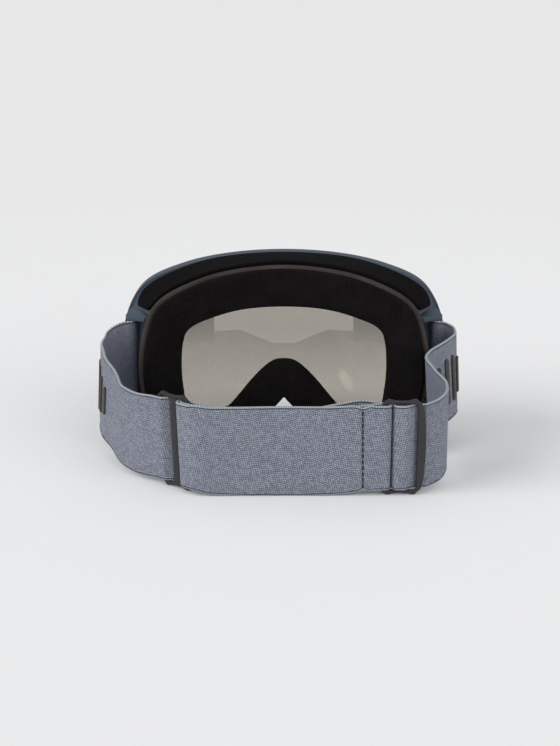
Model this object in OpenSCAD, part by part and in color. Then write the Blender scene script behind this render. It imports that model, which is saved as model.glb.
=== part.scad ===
// Snow goggles with a wide elastic strap in two halves, joined by two three-bar sliders.
// Seen from behind, +X is to the right, +Y points forwards through the lens and +Z is up.
// The goggles stand on the two lower lobes of the frame, the sliders and the back of the strap.
// The origin is on the table, at the middle of the footprint.

/* [Frame] */
// Width of the frame across its rim
frame_w = 168; // [158:1:180]
// Height of the frame from its lower lobes to its brow
frame_h = 99; // [92:1:108]
// Height of the notch over the nose
nose_rise = 27; // [20:1:30]
// Radius of the curve that the frame follows round the face
wrap_r = 150; // [130:5:220]
// Thickness of the rim from back to front, round both lenses
rim_depth = 17; // [15:0.5:22]
// Depth of the vented wall between the face flange and the rim
wall_depth = 21.5; // [14:0.5:24]
// Thickness of the moulded walls and the flange
wall = 2.5; // [2:0.1:3.2]
// How far the rim stands out beyond the face foam at each side
side_step = 10.5; // [8:0.5:14]
// How far the rim stands out beyond the face foam at the brow
brow_step = 1.7; // [1:0.1:5]
// How far the rim stands out beyond the face foam at the cheeks
cheek_step = 3; // [2:0.1:5]
// Depth of the groove that holds the lenses
groove = 2.7; // [2:0.1:3.2]
// Width of the lip in front of the lenses
lip = 5.5; // [4.5:0.1:7]
// Height of the flat that each lower lobe stands on
foot_cut = 0.6; // [0.3:0.1:1]

/* [Vents] */
// Number of vent slots along the brow
vent_count = 8; // [5:1:9]
// Width of one vent slot
vent_w = 9; // [5:0.5:10]
// Distance between neighbouring vent slots
vent_pitch = 14; // [12:0.5:15]
// Number of vent slots in each lower lobe
low_vent_count = 2; // [1:1:2]
// Thickness of the vent foam
vent_foam_t = 2; // [1.4:0.1:2.2]

/* [Lenses] */
// Thickness of the outer lens
outer_lens_t = 1.2; // [0.8:0.1:1.6]
// Thickness of the inner lens
inner_lens_t = 0.9; // [0.6:0.1:1.2]
// Width of the spacer gasket
gasket_w = 4; // [3:0.5:5]
// Thickness of the spacer gasket
gasket_t = 3.4; // [2.5:0.1:4]
// Thickness of the lip in front of the outer lens
front_lip_t = 2; // [1.5:0.1:2.5]

/* [Foam] */
// Thickness of the face foam
foam_t = 9.2; // [6:0.2:14]
// Thickness of the fleece lining
fleece_t = 2; // [1.5:0.1:3]
// Width of the foam at each side of the eye opening
foam_side = 20.5; // [16:0.5:24]
// Width of the foam over the eye opening
foam_brow = 21; // [15:0.5:24]
// Width of the foam under the eye opening
foam_cheek = 16; // [12:0.5:19]
// Width of the foam over the nose
foam_nose = 19.5; // [16:0.5:22]

/* [Strap] */
// Width of the strap
strap_w = 42; // [30:0.5:44]
// Thickness of the strap
strap_t = 1.5; // [1.2:0.1:1.8]
// How much wider the back of the strap is in its middle than in the slots that draw it in
swell = 2.6; // [0:0.2:4]
// Radius of the bar that each end of the strap is sewn round
bar_r = 1.7; // [1.4:0.1:2.2]
// How far each strap bar stands outside the face foam
bar_out = 6; // [5:0.25:8]
// Distance from the middle of a strap bar to the back of the rim in front of it
bar_behind = 9; // [8:0.5:12]
// Height of the strap's lower edge at the bars
strap_rise = 27; // [22:1:30]
// Distance from the back of the face foam to the back of the strap
head_room = 65; // [60:1:75]
// How far the left side of the strap swings out beyond its bar
left_swing = 15; // [10:0.5:20]
// How far the right side of the strap swings out beyond its bar
right_swing = 9.4; // [8:0.2:12]
// Length of the folded and sewn end at each strap bar
fold_len = 7; // [5.5:0.5:9]

/* [Sliders] */
// Width of one bar of a slider
slider_bar = 4.4; // [3.8:0.1:5]
// Thickness of the bars
slider_t = 2; // [1.6:0.1:2.6]
// Spare room in the slots between the bars, where two straps pass each other
slot_play = 0.45; // [0.3:0.05:1]
// Thickness of the rails over and under the strap
rail = 1.6; // [1.4:0.1:3.2]
// Rise of the two peaks on each rail
peak = 0.9; // [0.6:0.1:2]
// How far the two side bars bow out at half height
bow = 1; // [0.4:0.1:1.6]
// Distance of the right slider from the middle
right_slider_x = 55; // [50:1:58]
// Distance of the left slider from the middle
left_slider_x = 52; // [48:1:55]
// How far the middle of the left slider stands in front of the back of the strap
left_slider_in = 9.8; // [8:0.2:12]
// Turn of the left slider out of the line of the back
left_slider_turn = 37; // [30:1:42]

/* [Sewing and print] */
// Size of one stitch across the thread
thread = 0.5; // [0.3:0.1:0.7]
// Length of one stitch
stitch = 2; // [1.5:0.1:3]
// Distance from one stitch to the next
stitch_pitch = 3; // [2.6:0.1:4]
// Number of raised ribs printed on each side of the strap
rib_count = 6; // [3:1:6]
// Width of one printed rib
rib_w = 2; // [1:0.1:2.5]
// Height of the longest printed rib
rib_h = 26; // [16:1:30]
// Thickness of the print
rib_t = 0.6; // [0.4:0.1:1]

/* [Hidden] */

// Gap between parts that lie against each other
gap = 0.3;
// Gap between the strap and what it goes round
snug = 0.25;
// Where the middle plane of the goggles stands, so that the origin is the middle of the footprint
mid = [2.83, 0.62];
// Distance from the origin to the back of the face foam at the middle
face_y = 7;

half_w = frame_w / 2;
foam_half_w = half_w - side_step;
foam_top = frame_h - brow_step;
eye_half_w = foam_half_w - foam_side;
eye_top = foam_top - foam_brow;
eye_low = cheek_step + foam_cheek;
eye_arch = nose_rise + foam_nose;

// Half outlines from the middle of the brow round to the notch over the nose, as [x, z].
// The points of the three outlines answer each other one by one.
rim_half = [
  [0, frame_h], [0.36 * half_w, 0.985 * frame_h], [0.65 * half_w, 0.942 * frame_h],
  [0.88 * half_w, 0.86 * frame_h], [0.985 * half_w, 0.69 * frame_h], [half_w, 0.49 * frame_h],
  [0.965 * half_w, 0.27 * frame_h], [0.82 * half_w, 0.08 * frame_h], [0.57 * half_w, 0],
  [0.33 * half_w, 0.045 * frame_h], [0.11 * half_w, 0.64 * nose_rise],
  [0.025 * half_w, 0.92 * nose_rise], [0, nose_rise]
];
foam_half = [
  [0, foam_top], [0.385 * foam_half_w, 0.975 * foam_top], [0.66 * foam_half_w, 0.92 * foam_top],
  [0.875 * foam_half_w, 0.835 * foam_top], [0.965 * foam_half_w, 0.69 * foam_top],
  [foam_half_w, 0.5 * foam_top], [0.97 * foam_half_w, 0.3 * foam_top],
  [0.85 * foam_half_w, 0.115 * foam_top], [0.62 * foam_half_w, cheek_step],
  [0.36 * foam_half_w, cheek_step + 0.02 * foam_top], [0.13 * foam_half_w, 0.64 * nose_rise],
  [0.028 * foam_half_w, 0.92 * nose_rise], [0, nose_rise]
];
eye_half = [
  [0, eye_top], [0.39 * eye_half_w, 0.985 * eye_top], [0.7 * eye_half_w, 0.935 * eye_top],
  [0.91 * eye_half_w, 0.87 * eye_top], [0.98 * eye_half_w, 0.76 * eye_top],
  [eye_half_w, 0.61 * eye_top], [0.99 * eye_half_w, 0.45 * eye_top],
  [0.94 * eye_half_w, eye_low + 0.2 * foam_cheek], [0.75 * eye_half_w, eye_low],
  [0.57 * eye_half_w, eye_low + 0.1 * foam_cheek], [0.3 * eye_half_w, 0.79 * eye_arch],
  [0.13 * eye_half_w, 0.965 * eye_arch], [0, eye_arch]
];

// Steps between neighbouring points of an outline
outline_steps = 4;

function whole(half) = concat(
  half, [for (i = [len(half) - 2:-1:1]) [-half[i][0], half[i][1]]]);

// A smooth curve through four points in turn, between the second and the third
function smooth(a, b, c, d, t) = 0.5 * (2 * b + (c - a) * t
  + (2 * a - 5 * b + 4 * c - d) * t * t + (3 * b - a - 3 * c + d) * t * t * t);

function closed_curve(p, steps) = let (n = len(p)) [
  for (i = [0:n - 1], k = [0:steps - 1])
    smooth(p[(i + n - 1) % n], p[i], p[(i + 1) % n], p[(i + 2) % n], k / steps)];

function open_curve(p, steps) = let (n = len(p)) concat([
  for (i = [0:n - 2], k = [0:steps - 1])
    smooth(p[max(i - 1, 0)], p[i], p[i + 1], p[min(i + 2, n - 1)], k / steps)], [p[n - 1]]);

function footed(p) = [for (q = p) [q[0], max(q[1], foot_cut) - foot_cut]];

rim_line = footed(closed_curve(whole(rim_half), outline_steps));
foam_line = closed_curve(whole(foam_half), outline_steps);
eye_line = closed_curve(whole(eye_half), outline_steps);
line_n = len(rim_line);

function unit(v) = v / norm(v);
// How far the curve round the face falls back at a distance x from the middle
function fall(x) = wrap_r - sqrt(wrap_r * wrap_r - x * x);

// Outlines set in by a distance towards the eye opening
function rim_in(i, d) = rim_line[i] + unit(eye_line[i] - rim_line[i]) * d;
function foam_in(i, d) = foam_line[i] + unit(eye_line[i] - foam_line[i]) * d;
function eye_out(i, d) = eye_line[i] + unit(foam_line[i] - eye_line[i]) * d;

// How far the brow vent foam stops over the strap, to leave room for the shoulders beside it
vent_room = 7.5;
// Stations of the outline from the middle of the brow to each end of the brow vent foam
vent_end = max([
  for (i = [1:6 * outline_steps]) rim_line[i][1] > strap_rise + strap_w + vent_room ? i : 0]);
// The vented wall flares out to the rim, and less so at the sides, where the strap's ends need
// the room.
rim_ledge = 1.8;
wall_out = 0.3;
least_flare = 0.3;
function straight(i) = let (from_brow = min(i, line_n - i))
  (1 - least_flare) * min(max((from_brow - vent_end - 1) / 2, 0), 1);
function wall_front(i, d) =
  rim_in(i, rim_ledge + d) * (1 - straight(i)) + foam_in(i, wall_out + d) * straight(i);

// The fleece lining stops short of the foam's edge, most of all at the sides
lining_in = 1.2;
function lining_edge(i, d) = foam_in(i, d + lining_in * pow(foam_line[i][0] / foam_half_w, 2));

// Which outline a corner of a ring's section is measured from
RIM = 0;
FOAM = 1;
EYE = 2;
WALL = 3;
LINING = 4;
function from_line(which, i, d) = which == RIM ? rim_in(i, d) : which == FOAM ? foam_in(i, d)
  : which == EYE ? eye_out(i, d) : which == WALL ? wall_front(i, d) : lining_edge(i, d);
function ring_point(corner, i) = let (p = from_line(corner[0], i, corner[1]))
  [p[0], corner[2] - fall(p[0]), p[1]];

// Faces of a skin over rings of m points, with the rings joined end to end when closed.
// The squares marked as left ones are split along their other diagonal.
function skin(n, m, closed, left = []) = [
  for (i = [0:closed ? n - 1 : n - 2], j = [0:m - 1], half = [0:1])
    let (a = i * m + j, b = i * m + (j + 1) % m, i2 = (i + 1) % n, c = i2 * m + j,
      d = i2 * m + (j + 1) % m)
      len(left) > 0 && left[i] ? (half == 0 ? [a, b, d] : [a, d, c])
        : (half == 0 ? [a, b, c] : [b, d, c])];
// Whether the square after each station lies in the left half of the outline
function left_marks(first, last) = [for (i = [first:last]) i < 0 || i >= line_n / 2];
function end_fan(first, m, turn) = [
  for (j = [1:m - 2]) turn ? [first, first + j, first + j + 1] : [first, first + j + 1, first + j]];

module ring(section) {
  m = len(section);
  polyhedron(
    points = [for (i = [0:line_n - 1], c = section) ring_point(c, i)],
    faces = skin(line_n, m, true, left_marks(0, line_n - 1)));
}

// Part of a ring, over stations first to last, counted clockwise from the middle of the brow
module ring_part(section, first, last) {
  m = len(section);
  n = last - first + 1;
  polyhedron(
    points = [for (i = [first:last], c = section) ring_point(c, (i + line_n) % line_n)],
    faces = concat(skin(n, m, false, left_marks(first, last)), end_fan(0, m, false),
      end_fan((n - 1) * m, m, true)));
}

fleece_back = face_y;
foam_back = fleece_back + fleece_t + gap;
flange_back = foam_back + foam_t + gap;
flange_front = flange_back + wall;
rim_back = flange_front + wall_depth;
rim_front = rim_back + rim_depth;
outer_lens_front = rim_front - front_lip_t - gap;
gasket_front = outer_lens_front - outer_lens_t - gap;
inner_lens_front = gasket_front - gasket_t - gap;
groove_back = inner_lens_front - inner_lens_t - gap;

// Where the strap and the sliders lie in plan, measured from the middle plane of the goggles.
back_y = face_y - head_room;
left_centre = [-left_slider_x, back_y + left_slider_in];
right_centre = [right_slider_x, back_y + 2 * snug];
bar_x = foam_half_w + bar_out;
bar_y = rim_back - fall(bar_x) - bar_behind;
left_turn = -left_slider_turn;

slot_gap = 2 * strap_t + 3 * snug + slot_play;
slot_h = strap_w + 2 * snug;
slider_h = slot_h + 2 * (rail + peak);
// Height of the strap's lower edge in the sliders
thread_z = rail + peak + snug;
bar_pitch = slider_bar + slot_gap;
// Each bar has round edges, whose centres are this far from the middle of the bar
edge = (slider_bar - slider_t) / 2;
slider_half_w = bar_pitch + slider_bar / 2;
thread_end = slider_half_w + bow + gap;
// Distance of the middle of the strap from the centre it turns round, on the bar and on a strap
near_r = slider_t / 2 + snug + strap_t / 2;
far_r = near_r + strap_t + snug;
near_slope = asin(2 * near_r / (slot_gap + slider_t));
far_slope = asin((near_r + far_r) / (slot_gap + slider_t));
// Distance between the middles of two straps that lie on each other
lay = strap_t + 2 * snug;
outer_y = back_y - 0.8 * lay;
inner_y = back_y + 0.95 * lay;
// Gap left between two stretches of one strap
cut = 0.2;
fold_r = bar_r + snug + strap_t / 2;
// Share of the strap's slope by which its upper edge leans back
strap_lean = 0.15;
// How far the upper edge of each side tips inwards at its widest
side_tip = 3;

function arc(c, r, a, b, n) = [for (k = [0:n]) let (t = a + (b - a) * k / n)
  c + r * [cos(t), sin(t)]];
function turned(c, turn, p) =
  [c[0] + p[0] * cos(turn) - p[1] * sin(turn), c[1] + p[0] * sin(turn) + p[1] * cos(turn)];
function placed(c, turn, points, z) = [for (p = points) concat(turned(c, turn, p), [z])];
function opposite(points) = [for (p = points) -p];
function after_first(p) = [for (i = [1:len(p) - 1]) p[i]];
// One path from parts that share their end points, and the place in it where part k starts
function joined(parts) = [
  for (k = [0:len(parts) - 1], p = k == 0 ? parts[k] : after_first(parts[k])) p];
function mark(parts, k) = k == 0 ? 0 : mark(parts, k - 1) + len(parts[k - 1]) - 1;

// Path of a strap through a slider: over the first bar, under the second, over the third
threaded = concat(
  [[-thread_end, -near_r]],
  arc([edge - bar_pitch, 0], near_r, -90, near_slope - 90, 4),
  arc([-edge, 0], near_r, 90 + near_slope, 90, 4),
  arc([edge, 0], near_r, 90, 90 - far_slope, 5),
  arc([bar_pitch - edge, 0], far_r, -90 - far_slope, -90, 6),
  [[thread_end, -far_r]]);
// Path of a sewn end round the last bar of a slider
wrapped = concat(
  [[thread_end, near_r]],
  arc([bar_pitch - edge, 0], near_r, 90, 270, 12),
  [[bar_pitch + edge, -near_r], [thread_end + gap, -near_r]]);

left_threaded = placed(left_centre, left_turn, threaded, thread_z);
right_threaded = placed(right_centre, 0, opposite(threaded), thread_z);
left_wrapped = placed(left_centre, left_turn, wrapped, thread_z);
right_wrapped = placed(right_centre, 0, opposite(wrapped), thread_z);
last_threaded = len(threaded) - 1;

// Steps between neighbouring points of a strap's path
strap_steps = 4;

// Where each half of the strap meets its slider, and how far it goes back and down to get there
left_start = left_threaded[0];
right_start = right_threaded[0];
function way(side, swing, start, out, back, down) = [
  side * (bar_x + swing * out), bar_y - fold_r - (bar_y - fold_r - start[1]) * back,
  strap_rise - (strap_rise - start[2]) * down];
function on_left(p) = way(-1, left_swing, left_start, p[0], p[1], p[2]);
function on_right(p) = way(1, right_swing, right_start, p[0], p[1], p[2]);

// Each side starts at the back of its strap bar. The points are shares of the swing, of the way
// back and of the way down.
left_side_points = [for (p = [
  [0, 0, 0], [0.2, 0, 0.041], [0.667, 0.04, 0.231], [1, 0.165, 0.396], [0.88, 0.36, 0.586],
  [0.493, 0.52, 0.742], [0.16, 0.662, 0.932]]) on_left(p)];
left_run_points = [
  left_start + thread_end * [-1.124, 0.909, 0], left_start + thread_end * [-0.612, 0.413, -0.033],
  left_start
];
right_side_points = [for (p = [
  [0, 0, 0], [0.32, 0, 0.029], [0.83, 0.045, 0.099], [1, 0.15, 0.173], [0.468, 0.258, 0.28],
  [-0.319, 0.33, 0.421], [-0.638, 0.407, 0.52], [-0.426, 0.54, 0.652], [-0.085, 0.703, 0.759],
  [-0.213, 0.853, 0.841]]) on_right(p)];
right_run_points = [right_start + thread_end * [0.537, 0.298, 0.132], right_start];
outer_points = [
  left_threaded[last_threaded],
  [thread_end - left_slider_x, outer_y - 0.15 * lay, 0.73 * thread_z],
  [thread_end * 1.364 - left_slider_x, outer_y - 0.25 * lay, 0.36 * thread_z],
  [-0.385 * left_slider_x, outer_y - 0.1 * lay, 0.06 * thread_z], [0, outer_y, 0.015 * thread_z],
  [0.327 * right_slider_x, outer_y, 0.1 * thread_z],
  [right_slider_x - thread_end * 2.066, outer_y, 0.47 * thread_z], right_wrapped[0]
];
inner_points = [
  right_threaded[last_threaded],
  [right_slider_x - thread_end * 1.57, back_y + 2 * lay, 1.51 * thread_z],
  [right_slider_x - thread_end * 2.231, back_y + 1.3 * lay, 1.15 * thread_z],
  [0.255 * right_slider_x, inner_y, 0.29 * thread_z], [0, inner_y, 0.055 * thread_z],
  [-0.346 * left_slider_x, inner_y, 0.15 * thread_z],
  [thread_end * 1.736 - left_slider_x, inner_y, 0.51 * thread_z],
  [thread_end * 1.322 - left_slider_x, back_y + 1.3 * lay, 0.73 * thread_z], left_wrapped[0]
];

// End tails beyond the wrapped bars, which lie on the back of the strap
left_tail_points = [
  left_wrapped[len(wrapped) - 1],
  [thread_end * 1.074 - left_slider_x, outer_y + 1.1 * lay, 0.89 * thread_z],
  [thread_end * 1.364 - left_slider_x, outer_y + 0.9 * lay, 0.67 * thread_z]
];
right_tail_points = [
  right_wrapped[len(wrapped) - 1],
  [right_slider_x - bar_pitch - thread_end * 0.661, outer_y + 1.2 * lay, thread_z],
  [right_slider_x - bar_pitch - thread_end * 0.992, outer_y + lay, 0.85 * thread_z]
];

// Folded end at a strap bar: the tail and the turn round the bar, then the free side and run.
// The tail drops with the strap that it is sewn to.
function fold_drop(side) = (strap_rise - thread_z) * (side < 0 ? 0.18 : 0.12);
function folded(side) = concat(
  open_curve([
    [side * (bar_x + fold_len), bar_y - fold_r + 1.05 * lay, strap_rise - fold_drop(side)],
    [side * (bar_x + fold_len * 0.62), bar_y + fold_r * 0.3, strap_rise - 0.55 * fold_drop(side)],
    [side * (bar_x + fold_r * 0.9), bar_y + fold_r * 0.82, strap_rise],
    [side * (bar_x + fold_r * 0.37), bar_y + fold_r, strap_rise]], 3),
  [for (p = arc([side * bar_x, bar_y], fold_r, 90, side < 0 ? -90 : 270, 10))
    concat(p, [strap_rise])]);
function first_points(p, n) = [for (i = [0:n]) p[i]];
function last_points(p, n) = [for (i = [n:len(p) - 1]) p[i]];

left_free = open_curve(concat(left_side_points, left_run_points), strap_steps);
left_side_n = strap_steps * (len(left_side_points) - 1);
right_free = open_curve(concat(right_side_points, right_run_points), strap_steps);
right_side_n = strap_steps * (len(right_side_points) - 1);

// Each half of the strap as parts: fold, side, run, the stretch in its slider, back, wrapped end
left_parts = [
  folded(-1), first_points(left_free, left_side_n), last_points(left_free, left_side_n),
  left_threaded, open_curve(outer_points, strap_steps), right_wrapped, right_tail_points
];
right_parts = [
  folded(1), first_points(right_free, right_side_n), last_points(right_free, right_side_n),
  right_threaded, open_curve(inner_points, strap_steps), left_wrapped, left_tail_points
];
left_strap = joined(left_parts);
right_strap = joined(right_parts);
// How far the upper edge tips to the side at each point, for the strap's whole width
function tips(parts, side) = let (a = mark(parts, 1), b = mark(parts, 2)) [
  for (i = [0:mark(parts, len(parts)) ])
    i > a && i < b ? -side * side_tip * sin(180 * (i - a) / (b - a)) : 0];
left_tips = tips(left_parts, -1);
right_tips = tips(right_parts, 1);
// Width of the outer back layer at each point, between its two sliders
function widths(parts) = let (a = mark(parts, 4), b = mark(parts, 5)) [
  for (i = [0:mark(parts, len(parts)) ])
    strap_w + (i > a && i < b ? swell * pow(sin(180 * (i - a) / (b - a)), 0.6) : 0)];
left_widths = widths(left_parts);
right_widths = [for (p = right_strap) strap_w];

// Directions at a point of a strap: along it, square to its face, and up its width.
// It stands nearly upright also where it runs downhill.
function along(path, i) = unit(path[min(i + 1, len(path) - 1)] - path[max(i - 1, 0)]);
function across(path, i) = let (v = along(path, i)) unit([-v[1], v[0], 0]);
function upright(path, tip, i) = let (v = along(path, i), a = across(path, i))
  unit(cross([v[0], v[1], v[2] * strap_lean], a)) + tip[i] / strap_w * a;
function four_corners(p, a, g, w, t) = [
  p + a * t / 2, p - a * t / 2, p - a * t / 2 + g * w, p + a * t / 2 + g * w];

// The stretch of a strap from one mark of its path to another, with a small gap to the next one
module stretch(parts, path, tip, width, from, to) {
  first = mark(parts, from);
  last = mark(parts, to);
  function drawn_in(i) = i == first && from > 0 ? cut : i == last && to < len(parts) ? -cut : 0;
  polyhedron(
    points = [
      for (i = [first:last])
        each four_corners(path[i] + along(path, i) * drawn_in(i), across(path, i),
          upright(path, tip, i), width[i], strap_t)],
    faces = concat(skin(last - first + 1, 4, false), end_fan(0, 4, false),
      end_fan((last - first) * 4, 4, true)));
}
// A small flat piece on the face of a strap: out is how far its middle lies from the strap's
module panel(path, tip, i, length, height, t, lift, out) {
  v = along(path, i) * length / 2;
  a = across(path, i);
  g = upright(path, tip, i);
  polyhedron(
    points = [for (p = [path[i] - v, path[i] + v]) each four_corners(p + a * out + g * lift, a, g,
      height, t)],
    faces = concat(skin(2, 4, false), end_fan(0, 4, false), end_fan(4, 4, true)));
}

// How far the outside of the vented wall lies inside the foam's outline at its back
wall_in = 1.8;
// Width of the flange that carries the face foam
flange_w = 9;
// Size of the soft slope round the front edge of the rim
rim_slope = 2;
// Soft moulded ring with a groove for the lenses, a face flange, vents and a bar for each strap
frame_section = [
  [FOAM, wall_in, flange_back], [FOAM, wall_in, flange_front], [WALL, 0, rim_back],
  [RIM, 0, rim_back],
  [RIM, 0, rim_front - 3 * rim_slope], [RIM, 0.6 * rim_slope, rim_front - rim_slope],
  [RIM, 1.3 * rim_slope, rim_front], [RIM, lip, rim_front],
  [RIM, lip, rim_front - front_lip_t], [RIM, groove, rim_front - front_lip_t],
  [RIM, groove, groove_back], [RIM, lip, groove_back], [RIM, lip, rim_back + wall],
  [WALL, wall, rim_back + wall], [FOAM, wall_in + wall, flange_front],
  [FOAM, flange_w, flange_front], [FOAM, flange_w, flange_back]
];
// Thickness of the shoulders at the bar, their radius round it and how far they slope up or down
arm_t = 2;
arm_r = 2.1;
shoulder_rise = 2.4;
// Shoulder over or under the end of the strap: it carries the bar, spreads to the wall beside it
// and slopes up or down to the back of the rim
module shoulder(side, z, up) {
  root_x = bar_x - bar_out - 1.2 * wall_in;
  root_y = flange_front - fall(bar_x - bar_out) + arm_r;
  rim_y = bar_y + bar_behind + 0.6 * wall;
  hull() {
    translate([0, 0, min(z, z + up * arm_t)])
      linear_extrude(arm_t)
        union() {
          translate([side * bar_x, bar_y]) circle(r = arm_r, $fn = 32);
          polygon([
            [side * (bar_x + arm_r), bar_y], [side * (bar_x + arm_r), rim_y],
            [side * root_x, rim_y], [side * root_x, root_y]]);
        }
    translate([side * (bar_x - arm_r), rim_y - wall / 2, z + up * (arm_t + shoulder_rise)])
      sphere(d = wall, $fn = 16);
  }
}
module strap_bar(side) {
  shoulder(side, strap_rise + strap_w + gap, 1);
  shoulder(side, strap_rise - gap, -1);
  translate([side * bar_x, bar_y, strap_rise - arm_t / 2])
    cylinder(r = bar_r, h = strap_w + arm_t, $fn = 48);
}
module vent_cut(x, z, h) {
  deep = wall_depth - 2.8 * wall;
  translate([x, flange_front + wall_depth / 2 - fall(x), z])
    linear_extrude(h)
      for (y = [vent_w - deep, deep - vent_w] / 2) {
        translate([0, y]) circle(d = vent_w, $fn = 32);
        if (y < 0) translate([-vent_w / 2, y]) square([vent_w, deep - vent_w]);
      }
}
module frame() {
  color("#48566a")
    difference() {
      union() {
        ring(frame_section);
        for (side = [-1, 1]) strap_bar(side);
      }
      for (i = [0:vent_count - 1])
        vent_cut((i - (vent_count - 1) / 2) * vent_pitch, eye_top + 2 * wall, frame_h);
      for (side = [-1, 1], i = [0:low_vent_count - 1])
        vent_cut(side * (0.57 * half_w + (i - (low_vent_count - 1) / 2) * vent_pitch), -wall,
          eye_low - wall);
    }
}

// Lenses, cut from round shells by the groove's own outline
module lens(front, t) {
  intersection() {
    translate([0, front - wrap_r, 0])
      difference() {
        cylinder(r = wrap_r, h = frame_h, $fn = 360);
        translate([0, 0, -1]) cylinder(r = wrap_r - t, h = frame_h + 2, $fn = 360);
      }
    translate([0, front + t, 0])
      rotate([90, 0, 0])
        linear_extrude(wrap_r / 2)
          polygon([for (i = [0:line_n - 1]) rim_in(i, groove + gap)]);
  }
}
module outer_lens() { color("#b9b6ac", 0.5) lens(outer_lens_front, outer_lens_t); }
module inner_lens() { color("#c4c1b8", 0.5) lens(inner_lens_front, inner_lens_t); }
module lens_gasket() {
  color("#26272a")
    ring([
      [RIM, groove + 2 * gap, gasket_front - gasket_t], [RIM, groove + 2 * gap, gasket_front],
      [RIM, groove + 2 * gap + gasket_w, gasket_front],
      [RIM, groove + 2 * gap + gasket_w, gasket_front - gasket_t]
    ]);
}

// Vent foam strips, each in the recess between the flange and the rim
vent_section = [
  [FOAM, wall_in - gap, flange_front + gap],
  [FOAM, wall_in - gap - vent_foam_t, flange_front + gap],
  [WALL, -gap - vent_foam_t, rim_back - gap], [WALL, -gap, rim_back - gap]
];
module vent_foam(first, last) { color("#1b1b1d") ring_part(vent_section, first, last); }
module brow_vent_foam() { vent_foam(-vent_end, vent_end); }
module right_vent_foam() { vent_foam(7 * outline_steps, 9 * outline_steps); }
module left_vent_foam() { vent_foam(-9 * outline_steps, -7 * outline_steps); }

// Face foam with rounded edges. The fleece lining covers its back and turns in round the eye
// opening.
foam_round = 1.2;
fleece_in = 0.4 * fleece_t;
foam_eye = fleece_in + gap;
module face_foam() {
  color("#4a423c")
    ring([
      [FOAM, 0.6 * foam_round, foam_back], [FOAM, 0, foam_back + foam_round],
      [FOAM, 0.25 * foam_round, foam_back + 0.4 * foam_t],
      [FOAM, 0.8 * foam_round, foam_back + foam_t],
      [EYE, foam_eye, foam_back + foam_t], [EYE, foam_eye, foam_back + foam_round],
      [EYE, foam_eye + 0.4 * foam_round, foam_back + 0.25 * foam_round],
      [EYE, foam_eye + foam_round, foam_back]
    ]);
}
module fleece_lining() {
  color("#1a1819")
    ring([
      [LINING, foam_round + 0.4 * fleece_t, fleece_back],
      [LINING, 0.6 * foam_round + 0.1 * fleece_t, fleece_back + 0.35 * fleece_t],
      [LINING, 0.6 * foam_round, fleece_back + fleece_t],
      [EYE, foam_eye + foam_round, fleece_back + fleece_t],
      [EYE, fleece_in + 0.25 * foam_round, fleece_back + fleece_t + 0.25 * foam_round],
      [EYE, fleece_in, foam_back + foam_round], [EYE, fleece_in, foam_back + foam_t],
      [EYE, 0, foam_back + foam_t], [EYE, 0, fleece_back + fleece_t],
      [EYE, 0.3 * foam_round, fleece_back + 0.35 * fleece_t],
      [EYE, foam_round + 0.4 * fleece_t, fleece_back]
    ]);
}

module left_stretch(from, to) {
  color("#868b9b") stretch(left_parts, left_strap, left_tips, left_widths, from, to);
}
module right_stretch(from, to) {
  color("#868b9b") stretch(right_parts, right_strap, right_tips, right_widths, from, to);
}
// Left half of the strap: side, run, the stretch in the slider, outer layer and sewn end
module left_side_strap() { left_stretch(0, 2); }
module left_strap_run() { left_stretch(2, 3); }
module left_threaded_strap() { left_stretch(3, 4); }
module outer_back_strap() { left_stretch(4, 5); }
module right_strap_tail() { left_stretch(5, 7); }
// Right half of the strap: side, run, the stretch in the slider, inner layer and sewn end
module right_side_strap() { right_stretch(0, 2); }
module right_strap_run() { right_stretch(2, 3); }
module right_threaded_strap() { right_stretch(3, 4); }
module inner_back_strap() { right_stretch(4, 5); }
module left_strap_tail() { right_stretch(5, 7); }

// Three-bar slider, standing upright with its middle at the origin in plan
module slider() {
  middle = slider_h / 2;
  half_outline = [
    [slider_half_w + bow * 0.7, middle * 0.35], [slider_half_w, middle * 0.72],
    [slider_half_w - 0.25 * slider_bar, middle - 0.66 * slider_bar],
    [slider_half_w - 0.68 * slider_bar, middle - 0.23 * slider_bar],
    [0.58 * slider_half_w, middle], [0.3 * slider_half_w, middle - peak * 0.75]];
  quarter = concat([[slider_half_w + bow, 0]], half_outline, [[0, middle - peak]]);
  last = len(quarter) - 1;
  upper = concat(quarter, [for (i = [last - 1:-1:0]) [-quarter[i][0], quarter[i][1]]]);
  outline = concat(upper, [for (i = [len(upper) - 2:-1:1]) [upper[i][0], -upper[i][1]]]);
  translate([0, 0, middle]) {
    rotate([90, 0, 0])
      linear_extrude(slider_t, center = true)
        difference() {
          polygon(closed_curve(outline, 3));
          for (side = [-1, 1])
            translate([side * bar_pitch / 2, 0])
              square([bar_pitch - 2 * edge, slot_h], center = true);
        }
    for (x = [edge - bar_pitch, -edge, edge, bar_pitch - edge])
      translate([x, 0, 0]) cylinder(d = slider_t, h = slot_h + snug, center = true, $fn = 48);
  }
}
module left_slider() {
  color("#3c3c3e") translate(concat(left_centre, [0])) rotate(left_turn) slider();
}
module right_slider() { color("#3c3c3e") translate(concat(right_centre, [0])) slider(); }

// Gaps between a strap and what is sewn or printed on its face
stitch_gap = 0.1;
print_gap = 0.45;
// A row of stitches up the face of a strap
stitch_count = floor(strap_w / stitch_pitch) - 1;
module stitches(path, tip, i, side) {
  color("#5d6170")
    for (k = [0:stitch_count - 1])
      panel(path, tip, i, thread, stitch, thread,
        strap_w / 2 + (k - (stitch_count - 1) / 2) * stitch_pitch - stitch / 2,
        side * (strap_t / 2 + thread / 2 + stitch_gap));
}
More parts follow.
